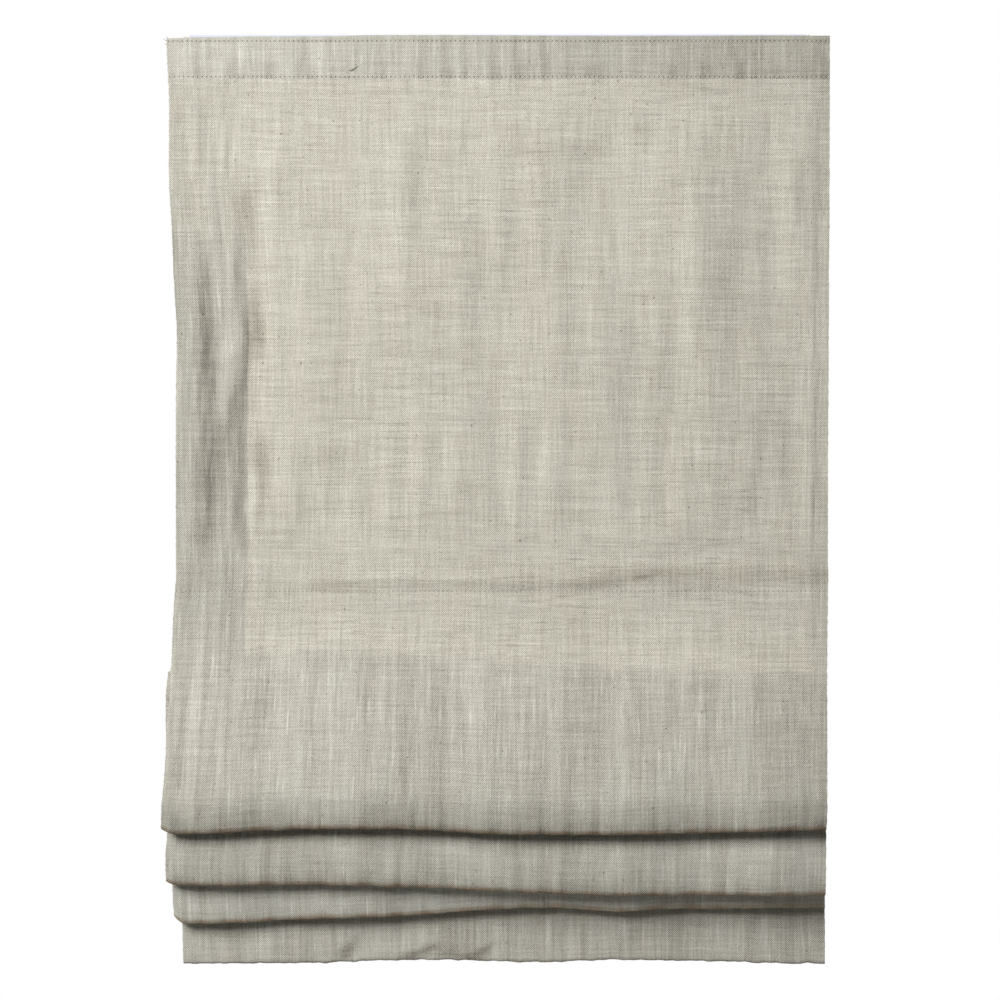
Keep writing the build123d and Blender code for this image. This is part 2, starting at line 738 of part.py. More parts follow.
for side, sign in sides.items():
    with BuildPart() as bar_cap:
        with BuildSketch(Plane.YZ.offset(sign * bar_length / 2)):
            with Locations((bar_y, bar_z)):
                SlotOverall(bar_height, bar_thickness, rotation=90)
        extrude(amount=sign * bar_cap_length)
        chamfer(bar_cap.faces().sort_by(Axis.X)[-1 if sign > 0 else 0].edges(), bar_cap_bevel)
    save(bar_cap, f"bar_cap_{side}")
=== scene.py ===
import math

import bpy
import numpy as np
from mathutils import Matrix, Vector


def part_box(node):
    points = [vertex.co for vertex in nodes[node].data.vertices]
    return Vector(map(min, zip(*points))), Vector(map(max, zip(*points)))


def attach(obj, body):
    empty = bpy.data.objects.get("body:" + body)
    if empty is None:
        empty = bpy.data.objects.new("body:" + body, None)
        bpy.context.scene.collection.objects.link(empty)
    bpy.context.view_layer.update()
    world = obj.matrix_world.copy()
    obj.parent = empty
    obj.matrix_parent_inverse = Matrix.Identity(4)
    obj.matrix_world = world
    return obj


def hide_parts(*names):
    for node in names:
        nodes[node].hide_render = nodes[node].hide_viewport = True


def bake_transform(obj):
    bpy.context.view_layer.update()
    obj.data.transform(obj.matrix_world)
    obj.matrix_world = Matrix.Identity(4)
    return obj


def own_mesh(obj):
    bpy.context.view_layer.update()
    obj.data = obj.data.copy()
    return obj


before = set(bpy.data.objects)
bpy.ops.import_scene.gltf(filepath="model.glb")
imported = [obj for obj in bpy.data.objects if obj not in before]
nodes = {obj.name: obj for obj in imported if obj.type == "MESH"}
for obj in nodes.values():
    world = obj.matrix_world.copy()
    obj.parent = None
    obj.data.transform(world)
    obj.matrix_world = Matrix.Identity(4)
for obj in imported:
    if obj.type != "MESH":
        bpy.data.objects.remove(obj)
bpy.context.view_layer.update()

# The photograph's view: a long lens square to the cloth, one pixel of the 1000 px frame is 0.71 mm there
photo = {
    "pixels": 1000,
    "metresPerPixel": 0.0007094,
    "blindColumn": 498.0,    # middle of the cloth
    "topRow": 34.0,          # highest point of the cloth
    "lensMm": 110.0,
    "sensorMm": 36.0,
}
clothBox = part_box("shade_cloth")
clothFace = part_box("loop_tape")[0].y - 0.0008
cameraDistance = photo["pixels"] * photo["metresPerPixel"] * photo["lensMm"] / photo["sensorMm"]
cameraX = (photo["pixels"] / 2 - photo["blindColumn"]) * photo["metresPerPixel"]
cameraZ = clothBox[1].z - (photo["pixels"] / 2 - photo["topRow"]) * photo["metresPerPixel"]


def makeCamera():
    bpy.ops.object.camera_add(
        location=(cameraX, clothFace - cameraDistance, cameraZ), rotation=(math.pi / 2, 0, 0)
    )
    camera = bpy.context.object
    camera.data.lens = photo["lensMm"]
    camera.data.sensor_width = photo["sensorMm"]
    camera.data.clip_end = 50
    bpy.context.scene.camera = camera


makeCamera()
print("camera ready")


# Nodes and materials
def deselectAll():
    bpy.ops.object.select_all(action="DESELECT")


def addNode(tree, kind, inputs=None, **settings):
    node = tree.nodes.new(kind)
    for key, value in settings.items():
        setattr(node, key, value)
    for key, value in (inputs or {}).items():
        if isinstance(value, bpy.types.NodeSocket):
            tree.links.new(value, node.inputs[key])
        else:
            node.inputs[key].default_value = value
    return node


def srgb(red, green, blue):
    parts = []
    for part in (red, green, blue):
        part = part / 255
        parts.append(part / 12.92 if part <= 0.04045 else ((part + 0.055) / 1.055) ** 2.4)
    return (*parts, 1.0)


def newMaterial(name, **shaderValues):
    material = bpy.data.materials.new(name)
    material.use_nodes = True
    tree = material.node_tree
    shader = tree.nodes["Principled BSDF"]
    for key, value in shaderValues.items():
        shader.inputs[key.replace("_", " ")].default_value = value
    return material, tree, shader


def math2(tree, operation, first, second=0.0):
    return addNode(tree, "ShaderNodeMath", {0: first, 1: second}, operation=operation).outputs[0]


def ramp(tree, value, low, high, toLow=0.0, toHigh=1.0):
    return addNode(
        tree,
        "ShaderNodeMapRange",
        {"Value": value, "From Min": low, "From Max": high, "To Min": toLow, "To Max": toHigh},
        interpolation_type="SMOOTHSTEP",
    ).outputs[0]


def noiseOn(tree, place, scale, detail=2.0, roughness=0.5):
    spread = addNode(tree, "ShaderNodeMapping", {"Vector": place, "Scale": scale}).outputs[0]
    return addNode(
        tree,
        "ShaderNodeTexNoise",
        {"Vector": spread, "Scale": 1.0, "Detail": detail, "Roughness": roughness},
    ).outputs["Fac"]


def bandsOn(tree, place, period, direction, distortion=0.4, detailScale=1.0):
    return addNode(
        tree,
        "ShaderNodeTexWave",
        {
            "Vector": place,
            "Scale": 2 * math.pi / (20 * period) * (2 if direction == "DIAGONAL" else 1),
            "Distortion": distortion,
            "Detail Scale": detailScale,
        },
        wave_type="BANDS",
        bands_direction=direction,
    ).outputs["Fac"]


def weighted(tree, terms, start=1.0):
    total = start
    for value, weight in terms:
        centred = math2(tree, "SUBTRACT", value, 0.5)
        total = addNode(tree, "ShaderNodeMath", {0: centred, 1: weight, 2: total}, operation="MULTIPLY_ADD").outputs[0]
    return total


def scaledColour(tree, colour, factor):
    if not isinstance(colour, bpy.types.NodeSocket):
        colour = colour[:3]
    return addNode(tree, "ShaderNodeVectorMath", {0: colour, "Scale": factor}, operation="SCALE").outputs[0]


def mixColour(tree, factor, first, second):
    node = tree.nodes.new("ShaderNodeMix")
    node.data_type = "RGBA"
    for socket, value in ((node.inputs[0], factor), (node.inputs[6], first), (node.inputs[7], second)):
        if isinstance(value, bpy.types.NodeSocket):
            tree.links.new(value, socket)
        else:
            socket.default_value = value
    return node.outputs[2]


clothLook = {
    # painted light: one layer is lighter where light shines through it; hems, header band and folds are darker,
    # painted shade where no light gets through
    "singleColourPaintedBacklight": srgb(203, 198, 184),      # one layer
    "doubledColourPaintedShade": srgb(189, 185, 173),     # hems and folds
    # painted warm shade along the lowest edge of each fold
    "warmEdgeShade": srgb(168, 146, 118),
    "threadPitch": 0.00145,
    "weave": 0.75,            # how far the threads' crossings stand out
    "grain": 0.70,
    "headerDepth": 0.0306,
    "leftHem": 0.0525,
    "rightHem": 0.012,
    "width": clothBox[1].x - clothBox[0].x,
}
stitch = {"pitch": 0.00328, "length": 0.0022, "radius": 0.00022, "segments": 8, "rings": 6, "start": 0.003,
          "holes": {"headerUpper": 1.0, "headerLower": 1.0, "pocketUpper": 0.45, "pocketLower": 0.6}}
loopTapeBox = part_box("loop_tape")
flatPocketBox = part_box("pocket_tape_1")
seamHeights = {
    "headerUpper": loopTapeBox[1].z + 0.0007,
    "headerLower": loopTapeBox[0].z + 0.0002,
    "pocketUpper": flatPocketBox[1].z - 0.0019,
    "pocketLower": flatPocketBox[0].z + 0.0008,
}
faintSeam = {"down": 0.4178, "from": 0.052, "to": 0.23}    # a half sunk line of stitches under the pocket


def needleHoles(tree, across, along):
    # dark dots where the stitches of each seam go through the cloth
    pitch = stitch["pitch"]
    turn = math2(tree, "MULTIPLY", math2(tree, "SUBTRACT", across, stitch["start"]), 2 * math.pi / pitch)
    dots = ramp(tree, math2(tree, "COSINE", turn), -0.45, -0.92)
    total = 0.0
    for name, z in seamHeights.items():
        near = math2(tree, "ABSOLUTE", math2(tree, "SUBTRACT", along, clothBox[1].z - z))
        total = math2(tree, "ADD", total, ramp(tree, near, 0.00085, 0.00035, 0.0, stitch["holes"][name]))
    faint = math2(tree, "ABSOLUTE", math2(tree, "SUBTRACT", along, faintSeam["down"]))
    faint = ramp(tree, faint, 0.0007, 0.0002, 0.0, 0.55)
    for low, high in ((faintSeam["from"] - 0.002, faintSeam["from"]), (faintSeam["to"], faintSeam["to"] - 0.15)):
        faint = math2(tree, "MULTIPLY", faint, ramp(tree, across, low, high))
    return math2(tree, "MULTIPLY", dots, math2(tree, "ADD", total, faint))


def weaveOn(tree, place, slant):
    # a plain weave: two sets of diagonals, of which the rising one is the stronger where slant is high
    wander = addNode(tree, "ShaderNodeTexNoise", {"Vector": place, "Scale": 420.0, "Detail": 1.0}).outputs["Color"]
    centred = addNode(tree, "ShaderNodeVectorMath", {0: wander, 1: (0.5, 0.5, 0.5)}, operation="SUBTRACT").outputs[0]
    shifted = addNode(
        tree, "ShaderNodeVectorMath", {0: centred, 1: (0.0009, 0.0009, 0), 2: place}, operation="MULTIPLY_ADD"
    ).outputs[0]
    scaled = scaledColour(tree, shifted, 2 * math.pi / clothLook["threadPitch"])
    across, along = addNode(tree, "ShaderNodeSeparateXYZ", {0: scaled}).outputs[:2]
    rising = math2(tree, "SINE", math2(tree, "ADD", across, along))
    falling = math2(tree, "SINE", math2(tree, "SUBTRACT", across, along))
    both = math2(tree, "ADD", math2(tree, "MULTIPLY", rising, slant),
                 math2(tree, "MULTIPLY", falling, math2(tree, "SUBTRACT", 1.0, slant)))
    return ramp(tree, both, -1.0, 1.0)


def linenMaterial():
    look = clothLook
    material, tree, shader = newMaterial("oatmealLinen", Roughness=0.95, Sheen_Weight=0.05, Sheen_Roughness=0.6)
    shader.inputs["Specular IOR Level"].default_value = 0.1
    place = addNode(tree, "ShaderNodeUVMap", uv_map="clothUV").outputs["UV"]
    across, along = addNode(tree, "ShaderNodeSeparateXYZ", {0: place}).outputs[:2]
    doubledShade = addNode(tree, "ShaderNodeAttribute", attribute_name="doubledShade").outputs["Fac"]
    paintedLightAndTone = addNode(tree, "ShaderNodeAttribute", attribute_name="paintedLightAndTone").outputs["Fac"]
    edge = addNode(tree, "ShaderNodeAttribute", attribute_name="foldEdgeShade").outputs["Fac"]

    # crisp zones: header band and side hems, their inner edges a little uneven
    waver = weighted(tree, [(noiseOn(tree, place, (30, 30, 1)), 0.004)], 0.0)
    acrossWavy = math2(tree, "ADD", across, waver)
    header = ramp(tree, along, look["headerDepth"] + 0.0004, look["headerDepth"] - 0.0004)
    leftHem = ramp(tree, acrossWavy, look["leftHem"] + 0.0012, look["leftHem"] - 0.0012)
    leftHem = math2(tree, "MULTIPLY", leftHem, ramp(tree, along, 0.09, 0.20, 0.4, 1.0))
    hemStart = look["width"] - look["rightHem"]
    rightHem = ramp(tree, acrossWavy, hemStart - 0.0015, hemStart + 0.0015)
    # where the cloth lies in two or more layers it takes the darker colour: painted shade where no light shines
    # through
    layers = math2(tree, "MAXIMUM", math2(tree, "MAXIMUM", header, leftHem), doubledShade)
    layers = math2(tree, "MAXIMUM", layers, math2(tree, "MULTIPLY", rightHem, 0.5))

    # threads, fine ones first
    slantNoise = noiseOn(tree, place, (42, 42, 1), 2.0, 0.5)
    slant = ramp(tree, math2(tree, "ADD", slantNoise, math2(tree, "MULTIPLY", layers, 0.20)), 0.38, 0.62, 0.25, 0.98)
    weave = weaveOn(tree, place, slant)
    inHeader = ramp(tree, header, 0.0, 1.0, 1.0, 0.75)    # the tape behind it flattens the threads
    weave = math2(tree, "ADD", math2(tree, "MULTIPLY", math2(tree, "SUBTRACT", weave, 0.5), inHeader), 0.5)
    warp = noiseOn(tree, place, (700, 22, 1), 2.0, 0.65)
    weft = noiseOn(tree, place, (22, 700, 1), 2.0, 0.65)
    grain = noiseOn(tree, place, (1300, 1300, 1), 2.0, 0.7)
    flecks = noiseOn(tree, place, (600, 600, 1), 2.0, 0.6)
    streaks = noiseOn(tree, place, (110, 3.2, 1), 4.0, 0.66)
    wideStreaks = noiseOn(tree, place, (26, 2.2, 1), 2.0, 0.5)
    crossStreaks = noiseOn(tree, place, (6.0, 90, 1), 4.0, 0.66)
    mottle = noiseOn(tree, place, (16, 16, 1), 3.0, 0.6)
    clouds = noiseOn(tree, place, (210, 130, 1), 2.0, 0.5)
    specks = ramp(tree, noiseOn(tree, place, (430, 430, 1), 0.0), 0.80, 0.86)
    hue = noiseOn(tree, place, (60, 14, 1), 3.0, 0.6)

    # slubs: short dark and pale lengths of thicker thread
    slubNoise = noiseOn(tree, place, (40, 640, 1), 1.0, 0.4)
    slubWhere = noiseOn(tree, place, (9, 12, 1), 2.0, 0.5)
    slubby = math2(tree, "MULTIPLY", ramp(tree, slubNoise, 0.56, 0.74), ramp(tree, slubWhere, 0.36, 0.66, 0.15, 1.0))
    pale = ramp(tree, noiseOn(tree, place, (520, 34, 1), 1.0, 0.4), 0.60, 0.74)
    paleCross = ramp(tree, noiseOn(tree, place, (34, 600, 1), 1.0, 0.4), 0.62, 0.76)

    single = math2(tree, "SUBTRACT", 1.0, layers)
    factor = weighted(
        tree,
        [(weave, look["weave"]), (grain, look["grain"]), (flecks, 0.45), (mottle, 0.12), (clouds, 0.16),
         (warp, 0.62), (weft, 0.58)],
    )
    factor = addNode(tree, "ShaderNodeMath", {0: specks, 1: -0.5, 2: factor}, operation="MULTIPLY_ADD").outputs[0]
    inSingle = weighted(tree, [(crossStreaks, 0.32), (wideStreaks, 0.10), (streaks, 0.14)], 0.015)
    inSingle = addNode(tree, "ShaderNodeMath", {0: slubby, 1: -0.20, 2: inSingle}, operation="MULTIPLY_ADD").outputs[0]
    inSingle = addNode(tree, "ShaderNodeMath", {0: paleCross, 1: 0.12, 2: inSingle}, operation="MULTIPLY_ADD").outputs[0]
    inDoubled = weighted(tree, [(streaks, 0.78), (wideStreaks, 0.28)], -0.01)
    inDoubled = addNode(tree, "ShaderNodeMath", {0: pale, 1: 0.20, 2: inDoubled}, operation="MULTIPLY_ADD").outputs[0]
    factor = addNode(tree, "ShaderNodeMath", {0: inSingle, 1: single, 2: factor}, operation="MULTIPLY_ADD").outputs[0]
    factor = addNode(tree, "ShaderNodeMath", {0: inDoubled, 1: layers, 2: factor}, operation="MULTIPLY_ADD").outputs[0]
    # painted light and shade from the cloth pieces, with some random tone
    factor = math2(tree, "ADD", factor, paintedLightAndTone)
    holes = needleHoles(tree, across, along)
    factor = math2(tree, "MULTIPLY", factor, ramp(tree, holes, 0.0, 1.0, 1.0, 0.42))

    # painted light and shade: the lighter one-layer colour against the darker colour of the doubled zones
    colour = mixColour(tree, layers, look["singleColourPaintedBacklight"], look["doubledColourPaintedShade"])
    tint = mixColour(tree, ramp(tree, hue, 0.3, 0.7), (1.005, 0.999, 0.995, 1), (0.995, 1.001, 1.002, 1))
    colour = addNode(tree, "ShaderNodeVectorMath", {0: colour, 1: tint}, operation="MULTIPLY").outputs[0]
    colour = mixColour(tree, edge, colour, look["warmEdgeShade"])
    # darker places are warmer: between the flax threads, and in the painted shade
    green = addNode(tree, "ShaderNodeMath", {0: factor, 1: 0.080, 2: 0.920}, operation="MULTIPLY_ADD").outputs[0]
    blue = addNode(tree, "ShaderNodeMath", {0: factor, 1: 0.185, 2: 0.815}, operation="MULTIPLY_ADD").outputs[0]
    warmth = addNode(tree, "ShaderNodeCombineXYZ", {0: 1.0, 1: green, 2: blue}).outputs[0]
    colour = addNode(tree, "ShaderNodeVectorMath", {0: colour, 1: warmth}, operation="MULTIPLY").outputs[0]
    tree.links.new(scaledColour(tree, colour, factor), shader.inputs["Base Color"])

    height = weighted(tree, [(weave, 0.8), (grain, 0.6), (warp, 0.7), (weft, 0.7)], 0.5)
    height = addNode(tree, "ShaderNodeMath", {0: holes, 1: -1.0, 2: height}, operation="MULTIPLY_ADD").outputs[0]
    bump = addNode(tree, "ShaderNodeBump", {"Height": height, "Strength": 0.35, "Distance": 0.0003})
    tree.links.new(bump.outputs[0], shader.inputs["Normal"])
    return material


def tapeMaterial(name, colour, pitch, fuzz):
    material, tree, shader = newMaterial(name, Roughness=0.9, Sheen_Weight=0.1)
    place = addNode(tree, "ShaderNodeUVMap", uv_map="clothUV").outputs["UV"]
    ribs = bandsOn(tree, place, pitch, "X", 0.6)
    cross = bandsOn(tree, place, pitch, "Y", 0.6)
    loops = noiseOn(tree, place, (1400, 1400, 1), 3.0, 0.7)
    soft = noiseOn(tree, place, (25, 25, 1), 2.0)
    factor = weighted(tree, [(ribs, 0.07), (cross, 0.06), (loops, fuzz), (soft, 0.08)])
    tree.links.new(scaledColour(tree, colour, factor), shader.inputs["Base Color"])
    height = weighted(tree, [(ribs, 0.6), (cross, 0.5), (loops, 4 * fuzz)], 0.5)
    bump = addNode(tree, "ShaderNodeBump", {"Height": height, "Strength": 0.5, "Distance": 0.0003})
    tree.links.new(bump.outputs[0], shader.inputs["Normal"])
    return material


def mouldedMaterial(name, colour, roughness, grain=900.0, bumpStrength=0.12):
    material, tree, shader = newMaterial(name, Roughness=roughness)
    place = addNode(tree, "ShaderNodeTexCoord").outputs["Object"]
    fine = noiseOn(tree, place, (grain, grain, grain), 2.0, 0.6)
    broad = noiseOn(tree, place, (22, 22, 22), 3.0, 0.5)
    factor = weighted(tree, [(fine, 0.03), (broad, 0.05)])
    tree.links.new(scaledColour(tree, colour, factor), shader.inputs["Base Color"])
    rough = weighted(tree, [(broad, 0.14), (fine, 0.08)], roughness)
    tree.links.new(rough, shader.inputs["Roughness"])
    bump = addNode(tree, "ShaderNodeBump", {"Height": fine, "Strength": bumpStrength, "Distance": 0.0001})
    tree.links.new(bump.outputs[0], shader.inputs["Normal"])
    return material


def metalMaterial(name, colour, roughness, drawn):
    material, tree, shader = newMaterial(name, Metallic=1.0, Roughness=roughness)
    place = addNode(tree, "ShaderNodeTexCoord").outputs["Object"]
    lines = noiseOn(tree, place, drawn, 3.0, 0.6)
    broad = noiseOn(tree, place, (35, 35, 35), 3.0, 0.55)
    factor = weighted(tree, [(lines, 0.10), (broad, 0.12)])
    tree.links.new(scaledColour(tree, colour, factor), shader.inputs["Base Color"])
    tree.links.new(weighted(tree, [(lines, 0.18), (broad, 0.15)], roughness), shader.inputs["Roughness"])
    bump = addNode(tree, "ShaderNodeBump", {"Height": lines, "Strength": 0.1, "Distance": 0.0001})
    tree.links.new(bump.outputs[0], shader.inputs["Normal"])
    return material


def braidMaterial(name, colour):
    material, tree, shader = newMaterial(name, Roughness=0.75)
    place = addNode(tree, "ShaderNodeTexCoord").outputs["Object"]
    strands = bandsOn(tree, place, 0.0009, "DIAGONAL", 0.5)
    fuzz = noiseOn(tree, place, (2500, 2500, 2500), 2.0)
    factor = weighted(tree, [(strands, 0.14), (fuzz, 0.10)])
    tree.links.new(scaledColour(tree, colour, factor), shader.inputs["Base Color"])
    height = weighted(tree, [(strands, 0.8), (fuzz, 0.3)], 0.5)
    bump = addNode(tree, "ShaderNodeBump", {"Height": height, "Strength": 0.5, "Distance": 0.0002})
    tree.links.new(bump.outputs[0], shader.inputs["Normal"])
    return material


linen = linenMaterial()
pocketTapeCloth = tapeMaterial("pocketTapeCloth", srgb(214, 209, 196), 0.0012, 0.10)
loopPile = tapeMaterial("loopPile", srgb(222, 220, 212), 0.0010, 0.22)
sewingThread = tapeMaterial("sewingThread", srgb(196, 191, 176), 0.0008, 0.12)
railPaint = mouldedMaterial("railPaint", srgb(212, 215, 227), 0.38, 1400, 0.08)
whitePlastic = mouldedMaterial("whitePlastic", srgb(232, 232, 228), 0.42)
motorPlastic = mouldedMaterial("motorPlastic", srgb(150, 153, 156), 0.48, 700, 0.2)
ringPlastic = mouldedMaterial("ringPlastic", srgb(240, 240, 236), 0.22, 600, 0.05)
rodFibre = mouldedMaterial("rodFibre", srgb(226, 222, 208), 0.4, 1200, 0.1)
bandSteel = metalMaterial("bandSteel", srgb(150, 152, 156), 0.28, (60, 1600, 1600))
platedSteel = metalMaterial("platedSteel", srgb(190, 190, 186), 0.36, (500, 500, 500))
shaftSteel = metalMaterial("shaftSteel", srgb(170, 170, 170), 0.34, (20, 1500, 1500))
barAluminium = metalMaterial("barAluminium", srgb(205, 206, 208), 0.33, (12, 1300, 1300))
cordBraid = braidMaterial("cordBraid", srgb(228, 227, 220))
looseThread = braidMaterial("looseThread", srgb(186, 181, 168))

nodeMaterials = {
    "head_rail": railPaint,
    "end_cap": whitePlastic,
    "spool_cradle": whitePlastic,
    "cord_spool": whitePlastic,
    "shaft_collar": whitePlastic,
    "lock_lever": whitePlastic,
    "cord_orb": whitePlastic,
    "bar_cap": whitePlastic,
    "wall_bracket": platedSteel,
    "lever_rivet": platedSteel,
    "motor": motorPlastic,
    "output_drum": motorPlastic,
    "storage_drum": motorPlastic,
    "spring_band": bandSteel,
    "drive_shaft": shaftSteel,
    "stiffener_rod": rodFibre,
    "bottom_bar": barAluminium,
}
for nodeName, node in nodes.items():
    for start, material in nodeMaterials.items():
        if nodeName.startswith(start):
            node.data.materials.clear()
            node.data.materials.append(material)
print("materials ready")

# The cloth's section, seen from the side: (y, z) points from the rods, tapes and bar that carry it
cloth = {
    "thickness": 0.0008,
    "foldLength": 0.300,      # cloth from rod to rod
    "foldDepth": 0.009,
    "foldSpacing": 0.0025,
    "bendCloth": 0.009,       # cloth that a fold spends on its bends
    "layerAir": 0.0006,
    "turnHalf": 0.0016,       # half the width of the turn over a rod
    "saddleLeg": 0.007,
    "hemHeight": 0.042,
    "hemSeam": 0.006,
    "columnWidth": 0.0025,
    "rowHeight": 0.0025,
    "turnPerRow": 0.30,       # radians
    "seamAboveRod": 0.0110,   # where the top panel ends and the first fold starts
    "frontLean": [(0.11, 0.057), (0.335, 0.081), (0.595, 0.105), (0.82, 0.129), (0.96, 0.149)],
    "foldSeamRise": 0.014,    # a fold's two halves meet this far above its lowest point
}
rodCount = 4
rodBoxes = [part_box(f"stiffener_rod_{number}") for number in range(1, rodCount + 1)]
rodZ = [(low.z + high.z) / 2 for low, high in rodBoxes]
halfCloth = cloth["thickness"] / 2
layerPitch = cloth["thickness"] + cloth["layerAir"]
saddleLow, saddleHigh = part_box("pocket_tape_2")
saddleY = (saddleLow.y + saddleHigh.y) / 2
saddleTop = saddleHigh.z - rodZ[1]
firstLayer = saddleLow.y - cloth["layerAir"] - halfCloth
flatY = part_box("pocket_tape_1")[0].y - halfCloth
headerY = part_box("loop_tape")[0].y - halfCloth
clothTop = clothBox[1].z
leftX, rightX = clothBox[0].x, clothBox[1].x
clothWidth = rightX - leftX
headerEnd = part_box("loop_tape")[0].z - 0.0015
panelY = saddleY + cloth["turnHalf"]
rodRadius = (rodBoxes[0][1].z - rodBoxes[0][0].z) / 2
crestDrop = rodRadius + 0.00015 + halfCloth
crestZ = [z - crestDrop for z in rodZ]
panelSeam = rodZ[0] + cloth["seamAboveRod"]


def foldPoints(fold):
    # front leg, lowest point, rear leg; fold 0 hangs from rod 1
    last = rodCount - 2
    rearY = panelY - cloth["thickness"] - cloth["foldSpacing"]
    rearY -= (last - fold) * (cloth["foldDepth"] + cloth["foldSpacing"])
    frontY = rearY - cloth["foldDepth"] + cloth["thickness"]
    startZ = rodZ[0] if fold == 0 else crestZ[fold]
    lowZ = (startZ + crestZ[fold + 1] - cloth["foldLength"] + cloth["bendCloth"]) / 2
    levelRise = saddleTop + cloth["layerAir"]
    if fold == 0:    # the front one leans out over the others in one long curve
        front = [(flatY, panelSeam), (flatY, rodZ[0] - 0.010), (flatY - 0.0004, rodZ[0] - 0.033)]
        for share, down in cloth["frontLean"]:
            front.append((flatY + share * (frontY - flatY), rodZ[0] - down))
    else:
        front = [(saddleY, crestZ[fold]), (panelY, crestZ[fold]), (panelY, rodZ[fold] - cloth["saddleLeg"])]
        for level in range(fold + 1, rodCount):
            y = firstLayer - layerPitch * 2 * (level - 1 - fold)
            front += [(y, rodZ[level] + levelRise), (y, rodZ[level] - cloth["saddleLeg"])]
        front.append((frontY, lowZ + 0.036))
    front += [(frontY + 0.0001, lowZ + 0.020), (frontY + 0.0014, lowZ + 0.0095),
              (frontY + 0.0030, lowZ + 0.0020), (frontY + 0.0040, lowZ)]
    rear = [(rearY - 0.0034, lowZ), (rearY - 0.0030, lowZ + 0.008), (rearY - 0.0014, lowZ + 0.024)]
    for level in range(rodCount - 1, fold + 1, -1):
        y = firstLayer - layerPitch * (2 * (level - 1 - fold) - 1)
        rear += [(y, rodZ[level] - cloth["saddleLeg"]), (y, rodZ[level] + levelRise)]
    frontOfSaddle = saddleY - cloth["turnHalf"]
    rear += [(frontOfSaddle, rodZ[fold + 1] - cloth["saddleLeg"]), (frontOfSaddle, crestZ[fold + 1])]
    rear += [(saddleY, crestZ[fold + 1])]
    return front, rear, lowZ


def smoothLine(points):
    # a quadratic curve through the middle of every stretch between the points, sampled closely
    points = [np.array(point) for point in points]
    places = [points[0]]
    for index in range(1, len(points) - 1):
        before = points[0] if index == 1 else (points[index - 1] + points[index]) / 2
        after = points[-1] if index == len(points) - 2 else (points[index] + points[index + 1]) / 2
        for t in np.linspace(0, 1, 40)[1:]:
            places.append((1 - t) ** 2 * before + 2 * t * (1 - t) * points[index] + t * t * after)
    return np.array(places)


def evenLine(line, rowHeight):
    # rows closer together where the line turns
    steps = np.diff(line, axis=0)
    lengths = np.hypot(*steps.T)
    headings = np.unwrap(np.arctan2(steps[:, 1], steps[:, 0]))
    turns = np.abs(np.diff(headings, prepend=headings[0]))
    measure = np.concatenate([[0], np.cumsum(lengths / rowHeight + turns / cloth["turnPerRow"])])
    distance = np.concatenate([[0], np.cumsum(lengths)])
    rows = max(4, int(math.ceil(measure[-1])))
    at = np.linspace(0, measure[-1], rows + 1)
    return np.stack([np.interp(at, measure, values) for values in (line[:, 0], line[:, 1], distance)], 1)


# How the edges wander, read off the photograph: (x in mm, rise in mm) and (z in mm, shift in mm)
edges = {
    "top": [(-235, -3.6), (-222, -1.9), (-204, -2.7), (-190, -1.7), (-120, -1.8), (-95, -0.7), (-20, -0.7),
            (40, -1.2), (85, -1.4), (190, -1.1), (235, -1.2)],
    "folds": [
        [(-235, 1.2), (-200, 1.5), (-172, 3.4), (-135, 4.8), (-70, 4.7), (-38, 3.4), (-5, 1.2), (40, 0.6),
         (90, 0.7), (135, 1.6), (181, 2.7), (235, 4.4)],
        [(-235, 6.9), (-205, 6.7), (-190, 5.5), (-172, 6.9), (-105, 6.9), (-70, 5.4), (-42, 4.7), (-5, 2.8),
         (30, 1.0), (60, 0.1), (90, -0.8), (150, -0.1), (200, -0.8), (235, 0.0)],
        [(-235, -3.2), (-190, -2.4), (-155, -0.3), (-110, 1.2), (-80, 2.0), (-40, 4.6), (-5, 7.4), (30, 8.9),
         (62, 7.4), (82, 5.2), (100, 6.2), (118, 8.1), (150, 7.4), (205, 8.8), (235, 8.2)],
    ],
    "hem": [(-235, -2.1), (-200, -2.0), (-125, -1.5), (-98, 0.0), (-40, 0.8), (5, -0.6), (30, -1.4),
            (78, 0.8), (130, 0.0), (172, -0.7), (200, -2.0), (235, -2.1)],
    "leftPanel": [(16, 0.0), (-5, 0.2), (-25, 1.8), (-90, 1.4), (-126, 3.8), (-165, 5.2), (-199, 7.6),
                  (-215, 6.8), (-270, 6.4), (-375, 6.6), (-392, 4.6), (-415, 4.2), (-436, 3.6)],
    "leftFolds": [
        [(-436, 3.6), (-470, 2.2), (-510, 1.4), (-530, -0.6), (-540, -1.6), (-552, -0.8)],
        [(-440, 3.0), (-552, 2.6), (-575, 0.6), (-592, 1.2)],
        [(-460, 4.0), (-592, 4.6), (-613, 6.0)],
    ],
    "leftBottom": [(-480, 9.0), (-610, 10.4), (-622, 10.8), (-643, 11.4)],
    "leftRear": [(-400, 3.0), (-438, 1.2), (-443, -0.6), (-470, -0.4), (-500, 0.9), (-552, -0.4)],
    "rightPanel": [(16, 0.4), (-100, 0.2), (-260, -0.6), (-375, -1.0), (-436, -1.6)],
    "rightFolds": [-3.8, -3.4, -3.2],
    "rightBottom": -2.6,
}
